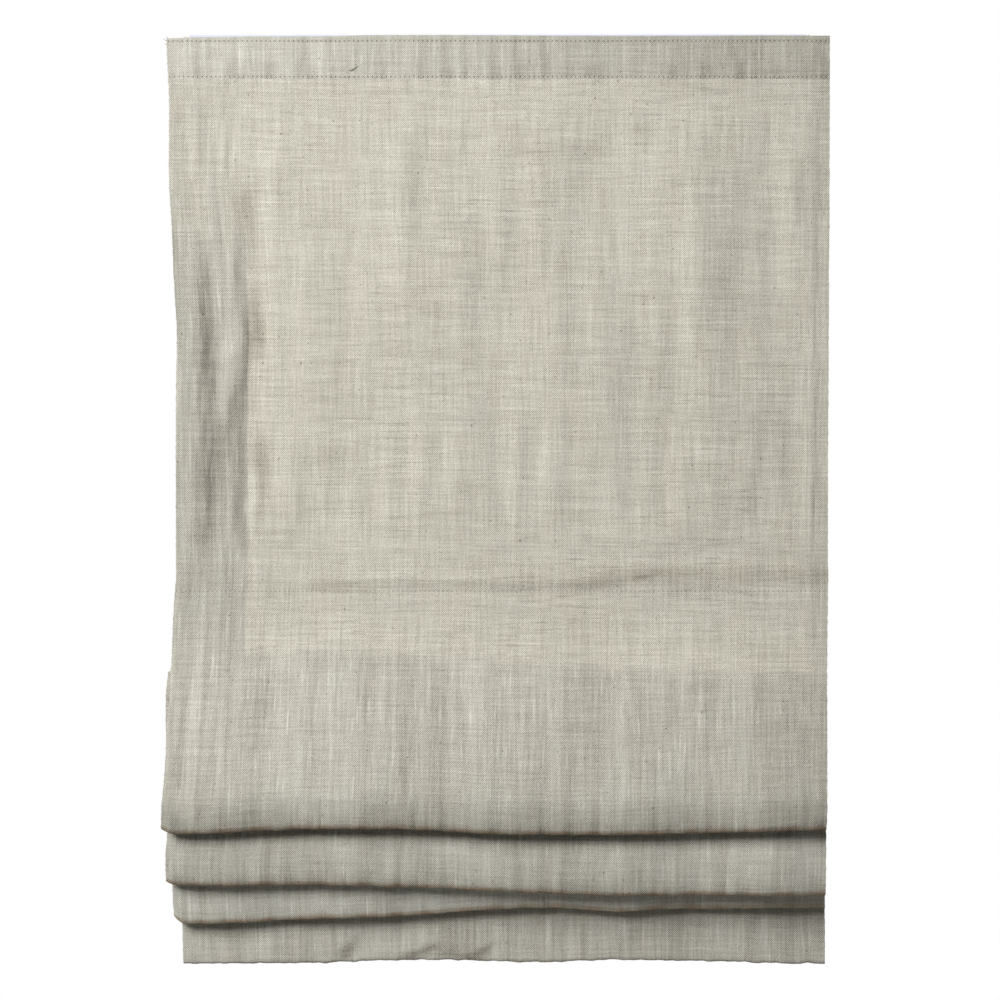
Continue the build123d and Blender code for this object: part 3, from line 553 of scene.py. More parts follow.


# Creases pressed into the cloth, as stations down each: (z, x, half width) in mm and strength from 0 to 1, which sets
# both the depth and the painted shade
creases = {
    "panel": [
        [(-108, -213, 4, 0.0), (-135, -214, 4.5, 0.25), (-160, -213, 5, 0.75), (-205, -212.5, 6, 1.0),
         (-240, -211, 7, 0.6), (-270, -210.5, 8, 0.65), (-300, -210.5, 9, 0.95), (-327, -208, 8, 0.7),
         (-345, -213, 9, 0.5), (-353, -213, 11, 0.25), (-359.5, -213, 12, 0.0)],
        [(-250, -198, 3, 0.0), (-262, -200, 3.5, 0.55), (-290, -201, 4, 0.35), (-310, -200, 4, 0.0)],
        [(-70, -186, 3, 0.0), (-92, -188, 3.5, 0.2), (-120, -187, 3, 0.35), (-155, -188, 5, 0.5),
         (-175, -187, 4.5, 0.45), (-200, -183, 2.8, 0.95), (-228, -186, 4.2, 0.8), (-246, -190, 7.0, 0.9),
         (-268, -188, 6.0, 0.8), (-290, -187, 4.8, 0.75), (-328, -189, 4.5, 0.6), (-345, -186, 5, 0.3), (-356, -184, 5, 0.0)],
        [(-82, -179, 4, 0.0), (-105, -180, 5, 0.55), (-128, -178, 5, 0.4), (-160, -176, 4, 0.3),
         (-195, -175, 4.5, 1.1), (-222, -174, 4, 0.3), (-255, -175, 4, 0.25), (-290, -173, 4.5, 0.8),
         (-312, -172, 3, 0.5), (-330, -174, 3, 0.2), (-345, -175, 3, 0.0)],
        [(-330, -151, 3, 0.0), (-343, -151, 3.5, 0.25), (-354, -152, 3, 0.0)],
        [(-16, -78, 0.9, 0.3), (-45, -78, 0.9, 0.45), (-72, -78.5, 0.9, 0.0)],
        [(-110, -108, 8, 0.0), (-220, -106, 9, 0.16), (-330, -109, 8, 0.0)],
        [(-150, 42, 12, 0.0), (-230, 45, 12, 0.12), (-300, 40, 12, 0.0)],
        [(-180, 118, 9, 0.0), (-270, 121, 10, 0.12), (-345, 117, 9, 0.0)],
        [(-60, 165, 11, 0.0), (-150, 162, 12, 0.14), (-240, 166, 11, 0.0)],
        [(-30, 226, 1.0, 0.0), (-60, 226, 1.2, 0.3), (-320, 225.5, 1.2, 0.3), (-352, 226, 1.0, 0.0)],
    ],
    "bottom": [
        [(-618, -100, 3, 0.0), (-627, -105, 4, 0.7), (-633, -110, 5, 1.1), (-641, -113, 5, 0.9)],
        [(-630, -48, 4, 0.0), (-635, -52, 6, 1.0), (-638, -62, 9, 1.1), (-642, -66, 8, 0.6)],
        [(-626, -2, 3, 0.0), (-633, -8, 4, 0.9), (-638, -16, 7, 0.9), (-642, -22, 9, 0.6)],
        [(-634, -34, 5, 0.0), (-637, -35, 9, 0.5), (-641, -36, 9, 0.5)],
        [(-612, 176.5, 0.9, 0.5), (-640, 176.5, 0.9, 0.5)],
        [(-618, 96, 5, 0.0), (-632, 92, 6, 0.3), (-641, 90, 6, 0.2)],
    ],
}


def along(points, values):
    places, shifts = np.array(sorted(points), float).T
    return np.interp(values * 1000, places, shifts) / 1000


def rounded(points, values, width=0.006):
    # the same with its corners taken off
    return sum(along(points, values + shift * width) for shift in (-2, -1, 0, 1, 2)) / 5


class Ripples:
    # sums of long waves with seeded phases, for the cloth's unevenness
    def __init__(self, seed, count, acrossFrom, acrossTo, downFrom, downTo):
        draw = np.random.default_rng(seed)
        self.across = 2 * np.pi / np.exp(draw.uniform(np.log(acrossFrom), np.log(acrossTo), count))
        self.down = 2 * np.pi / np.exp(draw.uniform(np.log(downFrom), np.log(downTo), count))
        self.phase = draw.uniform(0, 2 * np.pi, (3, count))
        self.share = 1 / math.sqrt(count)

    def at(self, x, s):
        total = np.zeros(np.broadcast(x, s).shape)
        for across, down, one, two, three in zip(self.across, self.down, *self.phase):
            total += np.sin(across * x + one + 0.9 * np.sin(down * s + two)) * np.cos(0.5 * down * s + three)
        return total * self.share


broadWaves = Ripples(3, 7, 0.09, 0.26, 0.20, 0.60)
softWaves = Ripples(5, 9, 0.022, 0.070, 0.12, 0.40)
creaseWaves = Ripples(8, 14, 0.0065, 0.020, 0.05, 0.18)
puckerWaves = Ripples(13, 10, 0.009, 0.028, 0.05, 0.10)
edgeWaves = Ripples(21, 12, 0.002, 0.012, 0.006, 0.030)
lipWaves = Ripples(34, 9, 0.009, 0.040, 0.05, 0.10)


def smoothStep(low, high, values):
    t = np.clip((values - low) / (high - low), 0, 1)
    return t * t * (3 - 2 * t)


def hump(middle, width, values):
    return np.exp(-(((values - middle) / width) ** 2))


def gridPiece(name, line, columnWidth, shape, span=None):
    # a grid from the section line, moved into place by shape(x, y, z, s) and given attributes by it
    low, high = span or (leftX, rightX)
    columns = int(round((high - low) / columnWidth))
    rows = len(line) - 1
    deselectAll()
    bpy.ops.mesh.primitive_grid_add(x_subdivisions=columns, y_subdivisions=rows, size=1)
    piece = bpy.context.object
    piece.name = name
    mesh = piece.data
    mesh.name = name
    flat = np.zeros(len(mesh.vertices) * 3)
    mesh.vertices.foreach_get("co", flat)
    flat = flat.reshape(-1, 3)
    x = low + (flat[:, 0] + 0.5) * (high - low)
    column = x - leftX
    row = np.rint((0.5 - flat[:, 1]) * rows).astype(int)
    y, z, s = line[row].T
    places, attributes = shape(x, y, z, s)
    mesh.vertices.foreach_set("co", places.astype(np.float32).ravel())
    for key, values in attributes.items():
        mesh.attributes.new(key, "FLOAT", "POINT").data.foreach_set("value", values.astype(np.float32))
    corners = np.zeros(len(mesh.loops), int)
    mesh.loops.foreach_get("vertex_index", corners)
    uvLayer = mesh.uv_layers[0]
    uvLayer.name = "clothUV"
    uvLayer.data.foreach_set("uv", np.stack([column[corners], s[corners]], 1).astype(np.float32).ravel())
    mesh.update()
    return piece


def applyModifier(piece, kind, **settings):
    deselectAll()
    piece.select_set(True)
    bpy.context.view_layer.objects.active = piece
    modifier = piece.modifiers.new(kind.lower(), kind)
    for key, value in settings.items():
        setattr(modifier, key, value)
    bpy.ops.object.modifier_apply(modifier=modifier.name)


def finishCloth(piece, thickness, material, smoothAngle=50):
    applyModifier(piece, "SOLIDIFY", thickness=thickness, offset=0.0)
    piece.data.materials.clear()
    piece.data.materials.append(material)
    deselectAll()
    piece.select_set(True)
    bpy.context.view_layer.objects.active = piece
    bpy.ops.object.shade_smooth_by_angle(angle=math.radians(smoothAngle))


def creasesAt(x, z, where):
    # how deep the cloth is there and how much painted shade it gets: each crease steps back from the light and eases
    # out again
    depth, creaseShade = 0 * x, 0 * x
    for stations in creases[where]:
        heights, places, widths, strengths = np.array(stations[::-1], float).T
        middle = np.interp(z * 1000, heights, places) / 1000
        middle = middle + 0.0006 * softWaves.at(z * 1.5, 0 * z)
        width = np.interp(z * 1000, heights, widths) / 1000
        strength = np.interp(z * 1000, heights, strengths, left=0, right=0)
        step = smoothStep(middle - width, middle + width, x) * smoothStep(middle + 4 * width, middle + width, x)
        depth = depth + strength * np.minimum(0.25 * width, 0.0015) * step
        creaseShade = creaseShade + strength * hump(middle, width * 1.15, x)
    return depth, creaseShade


def headerRelief(x, z):
    # the header band lies on its tape and puckers at its lower seam
    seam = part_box("loop_tape")[0].z
    pucker = np.abs(puckerWaves.at(x, z)) * hump(seam - 0.002, 0.010, z)
    return -0.00035 * pucker - 0.00012 * np.abs(softWaves.at(x, z * 0))


def panelRelief(x, z):
    # the long front panel: broad waves, a creased side hem and puckers at both seams
    free = smoothStep(headerEnd, headerEnd - 0.05, z) * smoothStep(rodZ[0] + 0.008, rodZ[0] + 0.05, z)
    hem = smoothStep(leftX + 0.062, leftX + 0.045, x)
    wave = free * (0.0010 * broadWaves.at(x, z) + 0.00030 * softWaves.at(x, z))
    wave += free * (0.00007 + 0.00030 * hem) * creaseWaves.at(x, z)
    wave += creasesAt(x, z, "panel")[0]
    return wave + headerRelief(x, z) * smoothStep(headerEnd - 0.04, headerEnd, z)


def foldRelief(x, z, fold):
    # sags between the rods, alike in all layers, and streaky creases on the fold's own front
    low = smoothStep(rodZ[1] + 0.03, rodZ[1] - 0.06, z)
    apart = smoothStep(rodZ[3] - 0.015, rodZ[3] - 0.08, z)
    shared = 0.0011 * broadWaves.at(x, -0.5 + 0 * z) * apart
    own = -0.00042 * np.abs(creaseWaves.at(x + 0.1 * fold, z)) * apart
    own -= 0.0004 * np.abs(softWaves.at(x - 0.07 * fold, z)) * apart
    if fold == 0:
        free = smoothStep(rodZ[0] - 0.010, rodZ[0] - 0.03, z) * (1 - low)
        own += -free * 0.0003 * np.abs(softWaves.at(x, z))
        own -= 0.0006 * hump(rodZ[0] - 0.001, 0.0045, z) * smoothStep(-0.165, -0.12, x)
    return shared + own


def pulled(x, z, left, right):
    # the side edges are moved, and the cloth beside them follows less and less
    across = (x - leftX) / clothWidth
    fray = 0.00022 * edgeWaves.at(z, z * 0.3)
    nearEdge = np.minimum(across, 1 - across) < 0.001
    moved = x + left * (1 - across) ** 3 + right * across**3
    return moved + np.where(nearEdge, fray, 0)


def shapeHeader(x, y, z, s):
    rise = rounded(edges["top"], x) * smoothStep(clothTop - 0.0056, clothTop, z)
    # painted light: lighter towards the lamp on the left; painted shade in the puckers above the lower seam and in the
    # upper seam's groove, with some random tone
    paintedLightAndTone = 0.19 - 0.25 * (x - leftX) / clothWidth
    puckerShade = np.clip(puckerWaves.at(x, z * 0.4), 0, 2) * smoothStep(0.004, headerEnd, z)
    paintedLightAndTone = paintedLightAndTone - 0.27 * puckerShade - 0.10 * np.clip(softWaves.at(x * 1.4, z * 0), 0, 2)
    paintedLightAndTone = paintedLightAndTone - 0.10 * hump(seamHeights["headerUpper"], 0.0011, z)
    places = np.stack([pulled(x, z, rounded(edges["leftPanel"], z), rounded(edges["rightPanel"], z)),
                       y + headerRelief(x, z), z + rise], 1)
    return places, {"doubledShade": np.ones(len(x)) * 0.9, "paintedLightAndTone": paintedLightAndTone, "foldEdgeShade": 0 * x}


def shapePanel(x, y, z, s):
    # painted shade in the creases, and the left edge a little paler
    creaseShade = creasesAt(x, z, "panel")[1]
    paleEdge = smoothStep(leftX + 0.016, leftX + 0.007, x) * smoothStep(-0.09, -0.16, z)
    paintedLightAndTone = 0.03 * paleEdge - 0.36 * creaseShade
    places = np.stack([pulled(x, z, rounded(edges["leftPanel"], z), rounded(edges["rightPanel"], z)),
                       y + panelRelief(x, z), z], 1)
    return places, {"doubledShade": 0 * x, "paintedLightAndTone": paintedLightAndTone, "foldEdgeShade": 0 * x}


foldPaintedLight = [0.0, 0.06, 0.22]    # the lower ones catch a little more light
cornerRoll = {"reach": [0.010, 0.007, 0.009], "rise": [0.0032, 0.0022, 0.0050], "pinch": 0.0085}


def foldShape(fold, lowZ, rear):
    edgeList = edges["folds"][fold]
    startZ = rodZ[0] - 0.012 if fold == 0 else rodZ[3] - 0.010

    def shape(x, y, z, s):
        drop = smoothStep(startZ, lowZ + 0.004, z)
        newZ = z + (rounded(edgeList, x) - 0.0008) * drop + 0.0003 * lipWaves.at(x + 0.3 * fold, 0 * x) * drop
        left = rounded(edges["leftRear"] if rear and fold == 0 else edges["leftFolds"][fold], z)
        if fold == 0 and not rear:
            left = np.where(z > rodZ[1], rounded(edges["leftPanel"], z), left)
        right = edges["rightFolds"][fold] / 1000 * smoothStep(rodZ[0], lowZ, z) - 0.0008
        newX = pulled(x, z, left, right)
        newY = y + foldRelief(x, z, fold)
        # the lower left corner is rolled, with a pinch beside it
        fromLeft = x - leftX
        near = smoothStep(lowZ + 0.022, lowZ + 0.002, z)
        corner = np.clip(1 - fromLeft / cornerRoll["reach"][fold], 0, 1) ** 2
        newZ += corner * cornerRoll["rise"][fold] * smoothStep(lowZ + 0.016, lowZ, z)
        newY += near * corner * (0.0016 if not rear else -0.0012)
        newY += near * 0.0007 * hump(cornerRoll["pinch"], 0.0016, fromLeft) * (1 if not rear else 0)
        # below this boundary the front has folds behind it and takes the painted shade of doubled cloth
        boundary = -0.4215 - 0.0155 * smoothStep(-0.16, 0.235, x) + 0.002 * softWaves.at(x, 0 * z)
        doubledShade = smoothStep(boundary + 0.005, boundary - 0.009, z) if fold == 0 else np.ones(len(x))
        # painted warm shade along the fold's lowest edge, where the cloth turns under
        edgeShadeBand = smoothStep(lowZ + 0.0034, lowZ + 0.0008, z) * (0.8 + 0.4 * softWaves.at(x, 0 * x))
        # painted shade in the pinch beside the rolled corner and towards the fold's lowest edge; painted light on the
        # lower folds
        paintedLightAndTone = -0.18 * near * hump(cornerRoll["pinch"], 0.002, fromLeft)
        paintedLightAndTone = paintedLightAndTone - 0.17 * smoothStep(lowZ + 0.012, lowZ + 0.001, z) * (0.9 + 0.5 * softWaves.at(x * 1.3, 0 * x))
        paintedLightAndTone = paintedLightAndTone - 0.14 * smoothStep(lowZ + 0.0040, lowZ + 0.0015, z) + foldPaintedLight[fold]
        if fold == 0:
            # painted shadow of rod 1 behind the cloth, and painted shade where the front leans out
            rodShadowBand = hump(rodZ[0] - 0.0040 + 0.0065 * smoothStep(0.055, 0.110, x), 0.0050, z)
            reach = 0.03 + 0.08 * smoothStep(-0.150, -0.125, x) + 0.11 * smoothStep(0.040, 0.060, x)
            leanShade = hump(-0.470, 0.048, z) * (0.07 + 0.05 * smoothStep(0.10, 0.20, x))
            paintedLightAndTone = paintedLightAndTone - reach * rodShadowBand - leanShade
        return np.stack([newX, newY, newZ], 1), {"doubledShade": doubledShade, "paintedLightAndTone": paintedLightAndTone, "foldEdgeShade": 0.8 * edgeShadeBand}

    return shape


def shapeBottom(x, y, z, s):
    low = smoothStep(rodZ[3] - 0.03, clothBox[0].z + 0.03, z)
    newZ = z + rounded(edges["hem"], x) * low
    left, right = rounded(edges["leftBottom"], z), edges["rightBottom"] / 1000
    front = y < panelY + 0.0012
    out = smoothStep(rodZ[3] - 0.02, rodZ[3] - 0.06, z)
    relief = -0.0006 * out * (np.abs(softWaves.at(x * 0.8 + 0.3, z)) + 0.5 * np.abs(creaseWaves.at(x + 0.05, z)))
    depth, creaseShade = creasesAt(x, z, "bottom")
    relief = np.where(front, relief + 0.25 * depth, 0.4 * relief)
    newZ = newZ + 0.0004 * lipWaves.at(x * 1.2, 0 * x) * low
    # painted shade in the crumples, and darker towards the lowest edge
    paintedLightAndTone = 0.01 - 0.42 * creaseShade - 0.10 * smoothStep(clothBox[0].z + 0.0045, clothBox[0].z, z)
    places = np.stack([pulled(x, z, left, right), y + relief, newZ], 1)
    return places, {"doubledShade": np.ones(len(x)), "paintedLightAndTone": paintedLightAndTone, "foldEdgeShade": 0 * x}


def lineLength(line):
    return float(line[-1, 2])


# Side hems: the cloth turned in at both sides lies behind the flat panels, with its cut end inside
sideHems = {"left": 0.0505, "right": 0.0115, "gap": 0.00025, "columnWidth": 0.0030}


def sideHem(name, line, shape, side):
    behind = cloth["thickness"] + sideHems["gap"]
    edge = 0.0004
    span = (leftX + edge, leftX + sideHems["left"])
    if side == "right":
        span = (rightX - sideHems["right"], rightX - edge)

    def hemShape(x, y, z, s):
        places, attributes = shape(x, y, z, s)
        places[:, 1] += behind
        attributes["doubledShade"] = np.ones(len(x))
        attributes["paintedLightAndTone"] = 0.3 * attributes["paintedLightAndTone"]
        return places, attributes

    piece = gridPiece(name, line, sideHems["columnWidth"], hemShape, span)
    finishCloth(piece, cloth["thickness"], linen)
    return piece


# Fringe: short thread ends along the left edge, one modelled and then set in a row
fringe = {"pitch": 0.00145, "length": 0.0013, "radius": 0.00017, "sides": 4}


def edgeFringe(name, line, shape):
    total = line[-1, 2] - line[0, 2]
    count = int(total / fringe["pitch"])
    deselectAll()
    bpy.ops.mesh.primitive_cone_add(vertices=fringe["sides"], radius1=fringe["radius"], radius2=0,
                                    depth=fringe["length"], rotation=(0, -math.pi / 2, 0), location=(0, 0, 0))
    piece = bpy.context.object
    piece.name = name
    bpy.ops.object.transform_apply(location=False, rotation=True, scale=True)
    applyModifier(piece, "ARRAY", count=count, use_relative_offset=False, use_constant_offset=True,
                  constant_offset_displace=(0, 0, -0.01))
    mesh = piece.data
    places = np.zeros(len(mesh.vertices) * 3)
    mesh.vertices.foreach_get("co", places)
    places = places.reshape(-1, 3)
    number = np.clip(np.rint(-places[:, 2] / 0.01), 0, count - 1).astype(int)
    local = places + np.stack([0 * number, 0 * number, number * 0.01], 1)
    draw = np.random.default_rng(len(name) + 7)
    at = (np.arange(count) + draw.uniform(-0.35, 0.35, count) + 0.5) * fringe["pitch"] + line[0, 2]
    y, z = (np.interp(at, line[:, 2], line[:, axis]) for axis in (0, 1))
    roots = shape(np.full(count, leftX), y, z, at)[0]
    size = draw.uniform(0.35, 1.0, count)
    tilt = draw.normal(0, 0.35, count)
    mesh.vertices.foreach_set("co", np.stack([
        roots[number, 0] + local[:, 0] * size[number] - 0.0002,
        roots[number, 1] + local[:, 1],
        roots[number, 2] + local[:, 2] + tilt[number] * local[:, 0],
    ], 1).astype(np.float32).ravel())
    mesh.update()
    mesh.materials.clear()
    mesh.materials.append(looseThread)
    return piece


def buildCloth():
    pieces = {}
    run = 0.0    # cloth used so far, from the top edge

    def addPiece(name, line, shape):
        nonlocal run
        line = line.copy()
        length = lineLength(line)
        line[:, 2] += run
        run += length
        piece = gridPiece(name, line, cloth["columnWidth"], shape)
        finishCloth(piece, cloth["thickness"], linen)
        pieces[name] = (piece, length)
        return [piece]

    headerLine = evenLine(smoothLine([(headerY, clothTop), (headerY, 0.0), (headerY, headerEnd)]), 0.0022)
    header = addPiece("cloth_header", headerLine, shapeHeader)
    header.append(edgeFringe("fringe_header", headerLine, shapeHeader))
    for piece in header:
        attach(piece, "head")
    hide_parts("shade_cloth")

    panelPoints = [(headerY, headerEnd), (headerY, headerEnd - 0.02), (flatY, panelSeam + 0.02), (flatY, panelSeam)]
    panelLine = evenLine(smoothLine(panelPoints), cloth["rowHeight"])
    hemLine = panelLine[1:].copy()
    hemLine[:, 2] += run
    panel = addPiece("cloth_top_panel", panelLine, shapePanel)
    panel += [sideHem(f"side_hem_top_{side}", hemLine, shapePanel, side) for side in ("left", "right")]
    panel.append(edgeFringe("fringe_top_panel", panelLine, shapePanel))
    for piece in panel:
        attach(piece, "head")
        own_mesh(piece)

    for fold in range(rodCount - 1):
        front, rear, lowZ = foldPoints(fold)
        line = smoothLine(front + rear)
        seamZ = lowZ + cloth["foldSeamRise"]
        lowest = int(np.argmin(line[:, 1]))
        split = lowest + int(np.argmax(line[lowest:, 1] >= seamZ))
        seamShare = (seamZ - line[split - 1, 1]) / (line[split, 1] - line[split - 1, 1])
        seamPoint = line[split - 1] + seamShare * (line[split] - line[split - 1])
        frontLine = evenLine(np.vstack([line[:split], seamPoint]), cloth["rowHeight"])
        rearLine = evenLine(np.vstack([seamPoint, line[split:]]), cloth["rowHeight"])
        frontShape, rearShape = foldShape(fold, lowZ, False), foldShape(fold, lowZ, True)
        frontPieces = addPiece(f"cloth_fold_{fold + 1}_front", frontLine, frontShape)
        frontPieces.append(edgeFringe(f"fringe_fold_{fold + 1}", frontLine, frontShape))
        for piece in frontPieces:
            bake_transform(piece)
        for piece in addPiece(f"cloth_fold_{fold + 1}_rear", rearLine, rearShape):
            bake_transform(piece)

    hemZ = clothBox[0].z
    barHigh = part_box("bottom_bar")[1]
    hemY = barHigh.y + 0.0003 + halfCloth
    hemMeets = panelY + cloth["thickness"] + 0.0003
    hemTop = hemZ + cloth["hemHeight"]
    bottomPoints = [
        (saddleY, crestZ[3]), (panelY, crestZ[3]), (panelY, rodZ[3] - 0.02), (panelY, hemZ + 0.02),
        (panelY, hemZ + 0.003), (panelY + 0.0006, hemZ + halfCloth), (hemY - 0.0006, hemZ + halfCloth),
        (hemY, hemZ + 0.003), (hemY, hemTop - 2 * cloth["hemSeam"]), (hemMeets, hemTop - cloth["hemSeam"]),
        (hemMeets, hemTop),
    ]
    bottomLine = evenLine(smoothLine(bottomPoints), cloth["rowHeight"])
    sideLine = evenLine(smoothLine([(panelY, rodZ[3] - 0.008), (panelY, -0.55), (panelY, hemTop + 0.001)]),
                        cloth["rowHeight"])
    sideLine[:, 2] += run + 0.01
    bottom = addPiece("cloth_bottom_panel", bottomLine, shapeBottom)
    bottom += [sideHem(f"side_hem_bottom_{side}", sideLine, shapeBottom, side) for side in ("left", "right")]
    fringeLine = bottomLine[: int(np.argmin(bottomLine[:, 1]))]
    bottom.append(edgeFringe("fringe_bottom", fringeLine, shapeBottom))
    for piece in bottom:
        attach(piece, "rod_4")
    print("cloth ready,", round(run, 4), "m long")
    return pieces


clothPieces = buildCloth()


# Tapes: strips along X with their own section
def stripPiece(name, points, xStart, xEnd, thickness, material, rowHeight=0.0012, relief=0.0):
    line = evenLine(smoothLine(points), rowHeight)

    def shape(x, y, z, s):
        return np.stack([x, y + relief * edgeWaves.at(x, z), z], 1), {}

    piece = gridPiece(name, line, 0.004, shape, (xStart, xEnd))
    finishCloth(piece, thickness, material)
    return piece, lineLength(line)


def buildTapes():
    for number in range(1, rodCount + 1):
        low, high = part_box(f"pocket_tape_{number}")
        z = rodZ[number - 1]
        skin = 0.00025
        if number == 1:
            points = [(low.y + skin, high.z), (low.y + skin, z + 0.0062), (high.y - skin, z + 0.0031),
                      (high.y - skin, z - 0.0031), (low.y + skin, z - 0.0062), (low.y + skin, low.z)]
        else:
            points = [(low.y + skin, low.z), (low.y + skin, z), (low.y + skin, high.z + 0.0002),
                      (high.y - skin, high.z + 0.0002), (high.y - skin, z), (high.y - skin, low.z)]
        piece, length = stripPiece(f"rod_pocket_{number}", points, low.x, high.x, 0.0005, pocketTapeCloth,
                                   0.0009)
        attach(piece, f"rod_{number}")
        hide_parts(f"pocket_tape_{number}")
    for name, node, lift in (("loop_strip", "loop_tape", 0.0), ("hook_strip", "hook_tape", 0.0)):
        low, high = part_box(node)
        middle = (low.y + high.y) / 2
        piece, length = stripPiece(name, [(middle, high.z), (middle, 0.0), (middle, low.z)], low.x, high.x,
                                   (high.y - low.y) * 0.94, loopPile, 0.002)
        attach(piece, "head")
        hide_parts(node)
    print("tapes ready")


buildTapes()


# Stitches: one modelled, then an array along the seam, laid on the cloth
def seamStitches(name, z, y, body, reliefAt, xStart=None, xEnd=None, faces=-1):
    xStart = leftX + stitch["start"] if xStart is None else xStart
    xEnd = rightX - stitch["start"] if xEnd is None else xEnd
    deselectAll()
    bpy.ops.mesh.primitive_uv_sphere_add(segments=stitch["segments"], ring_count=stitch["rings"], radius=1,
                                         rotation=(0, math.pi / 2, 0), location=(0, 0, 0))
    seam = bpy.context.object
    seam.name = name
    bpy.ops.object.transform_apply(location=False, rotation=True, scale=True)
    seam.scale = (stitch["length"] / 2, stitch["radius"], stitch["radius"])
    bpy.ops.object.transform_apply(location=False, rotation=False, scale=True)
    for vertex in seam.data.vertices:    # the ends dip into the cloth
        vertex.co.y -= faces * 0.0004 * (2 * vertex.co.x / stitch["length"]) ** 2
        vertex.co.x += xStart
    count = int((xEnd - xStart) / stitch["pitch"])
    applyModifier(seam, "ARRAY", count=count, use_relative_offset=False, use_constant_offset=True,
                  constant_offset_displace=(stitch["pitch"], 0, 0))
    mesh = seam.data
    places = np.zeros(len(mesh.vertices) * 3)
    mesh.vertices.foreach_get("co", places)
    places = places.reshape(-1, 3)
    number = np.floor((places[:, 0] - xStart + stitch["pitch"] / 2) / stitch["pitch"])
    tilt = np.random.default_rng(len(name) + 40).normal(0, 0.05, count + 2)[number.astype(int)]
    middle = xStart + number * stitch["pitch"]
    places[:, 2] += z + tilt * (places[:, 0] - middle) * 2
    surface = y + reliefAt(middle, np.full(len(places), z))
    places[:, 1] += surface + faces * (halfCloth + 0.00005)
    across = (places[:, 0] - leftX) / clothWidth
    shift = rounded(edges["leftPanel"], np.full(len(places), z)) * (1 - across) ** 3
    places[:, 0] += shift
    mesh.vertices.foreach_set("co", places.astype(np.float32).ravel())
    uvLayer = mesh.uv_layers[0]
    uvLayer.name = "clothUV"
    for loop in uvLayer.data:
        loop.uv = (loop.uv[0] * 0.001, loop.uv[1] * 0.004)
    mesh.materials.clear()
    mesh.materials.append(sewingThread)
    bpy.ops.object.shade_smooth()
    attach(seam, body)
    return seam


def flatRelief(x, z):
    return 0 * x


def buildSeams():
    seamStitches("header_upper_seam", seamHeights["headerUpper"], headerY, "head", headerRelief)
    seamStitches("header_lower_seam", seamHeights["headerLower"], headerY, "head", headerRelief)
    seamStitches("pocket_upper_seam", seamHeights["pocketUpper"], flatY, "rod_1", flatRelief)
    seamStitches("pocket_lower_seam", seamHeights["pocketLower"], flatY, "rod_1", flatRelief)
    low, high = flatPocketBox
    behind = low.y + 0.0005 - halfCloth    # on the back of the tape's flat borders
    for name in ("pocketUpper", "pocketLower"):
        seamStitches(f"{name}_seam_behind", seamHeights[name], behind, "rod_1", flatRelief,
                     low.x + 0.002, high.x - 0.002, 1)
    for number in range(2, rodCount + 1):
        low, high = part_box(f"pocket_tape_{number}")
        seamStitches(f"pocket_seam_behind_{number}", low.z + 0.0016, high.y - halfCloth, f"rod_{number}",
                     flatRelief, low.x + 0.002, high.x - 0.002, 1)
    print("seams ready")


buildSeams()


# Rings: the drawn section is round, and three loops of thread hold each to its pocket
ring = {"radius": 0.0045, "wire": 0.0010, "threads": 3, "flatness": 0.88}


def buildRings():
    for number in range(1, rodCount + 1):
        for side in ("left", "right"):
            node = f"ring_{number}_{side}"
            low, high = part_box(node)
            middle = (low + high) / 2
            deselectAll()
            bpy.ops.mesh.primitive_torus_add(location=middle, major_radius=ring["radius"],
                                             minor_radius=ring["wire"], major_segments=40, minor_segments=14)
            piece = bpy.context.object
            piece.name = f"eye_{number}_{side}"
            # flatter above and below than inside, with the mould's parting line round the middle
            piece.scale = (1, 1, ring["flatness"])
            bpy.ops.object.transform_apply(location=True, rotation=True, scale=True)
            for vertex in piece.data.vertices:
                offset = vertex.co - middle
                if abs(offset.z) < 0.00008:
                    vertex.co += offset.normalized() * (0.00006 if offset.length > ring["radius"] else -0.00006)
            piece.data.materials.append(ringPlastic)
            bpy.ops.object.shade_smooth()
            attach(piece, f"rod_{number}")
            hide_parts(node)
            for thread in range(ring["threads"]):
                turn = (thread - 1) * 0.24
                place = (middle.x + math.sin(turn) * (ring["radius"] + 0.0002),
                         middle.y - math.cos(turn) * (ring["radius"] + 0.0002), middle.z)
                deselectAll()
                bpy.ops.mesh.primitive_torus_add(location=place, rotation=(0, math.pi / 2, -turn),
                                                 major_radius=ring["wire"] + 0.00030, minor_radius=0.00016,
                                                 major_segments=18, minor_segments=6)
                loop = bpy.context.object
                loop.name = f"eye_thread_{number}_{side}_{thread + 1}"
                bpy.ops.object.transform_apply(location=True, rotation=True, scale=True)
                loop.data.uv_layers[0].name = "clothUV"
                loop.data.materials.append(sewingThread)
                bpy.ops.object.shade_smooth()
                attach(loop, f"rod_{number}")
    print("rings ready")


buildRings()

# Lift cords: the turns on each spool, and the run down through the rings in four stretches
liftCord = {"radius": 0.0006, "turns": 13, "pitch": 0.0013, "pointsPerTurn": 14}


def tubeAlong(name, points, radius, resolution=3, material=None):
    curve = bpy.data.curves.new(name, "CURVE")
    curve.dimensions = "3D"
    curve.bevel_depth = radius
    curve.bevel_resolution = 2
    curve.resolution_u = resolution
    curve.use_fill_caps = True
    spline = curve.splines.new("NURBS")
    spline.points.add(len(points) - 1)
    for point, place in zip(spline.points, points):
        point.co = (*place, 1)
    spline.order_u = 3
    spline.use_endpoint_u = True
    piece = bpy.data.objects.new(name, curve)
    bpy.context.scene.collection.objects.link(piece)
    deselectAll()
    piece.select_set(True)
    bpy.context.view_layer.objects.active = piece
    bpy.ops.object.convert(target="MESH")
    piece = bpy.context.object
    piece.data.materials.clear()
    piece.data.materials.append(material or cordBraid)
    bpy.ops.object.shade_smooth()
    return piece


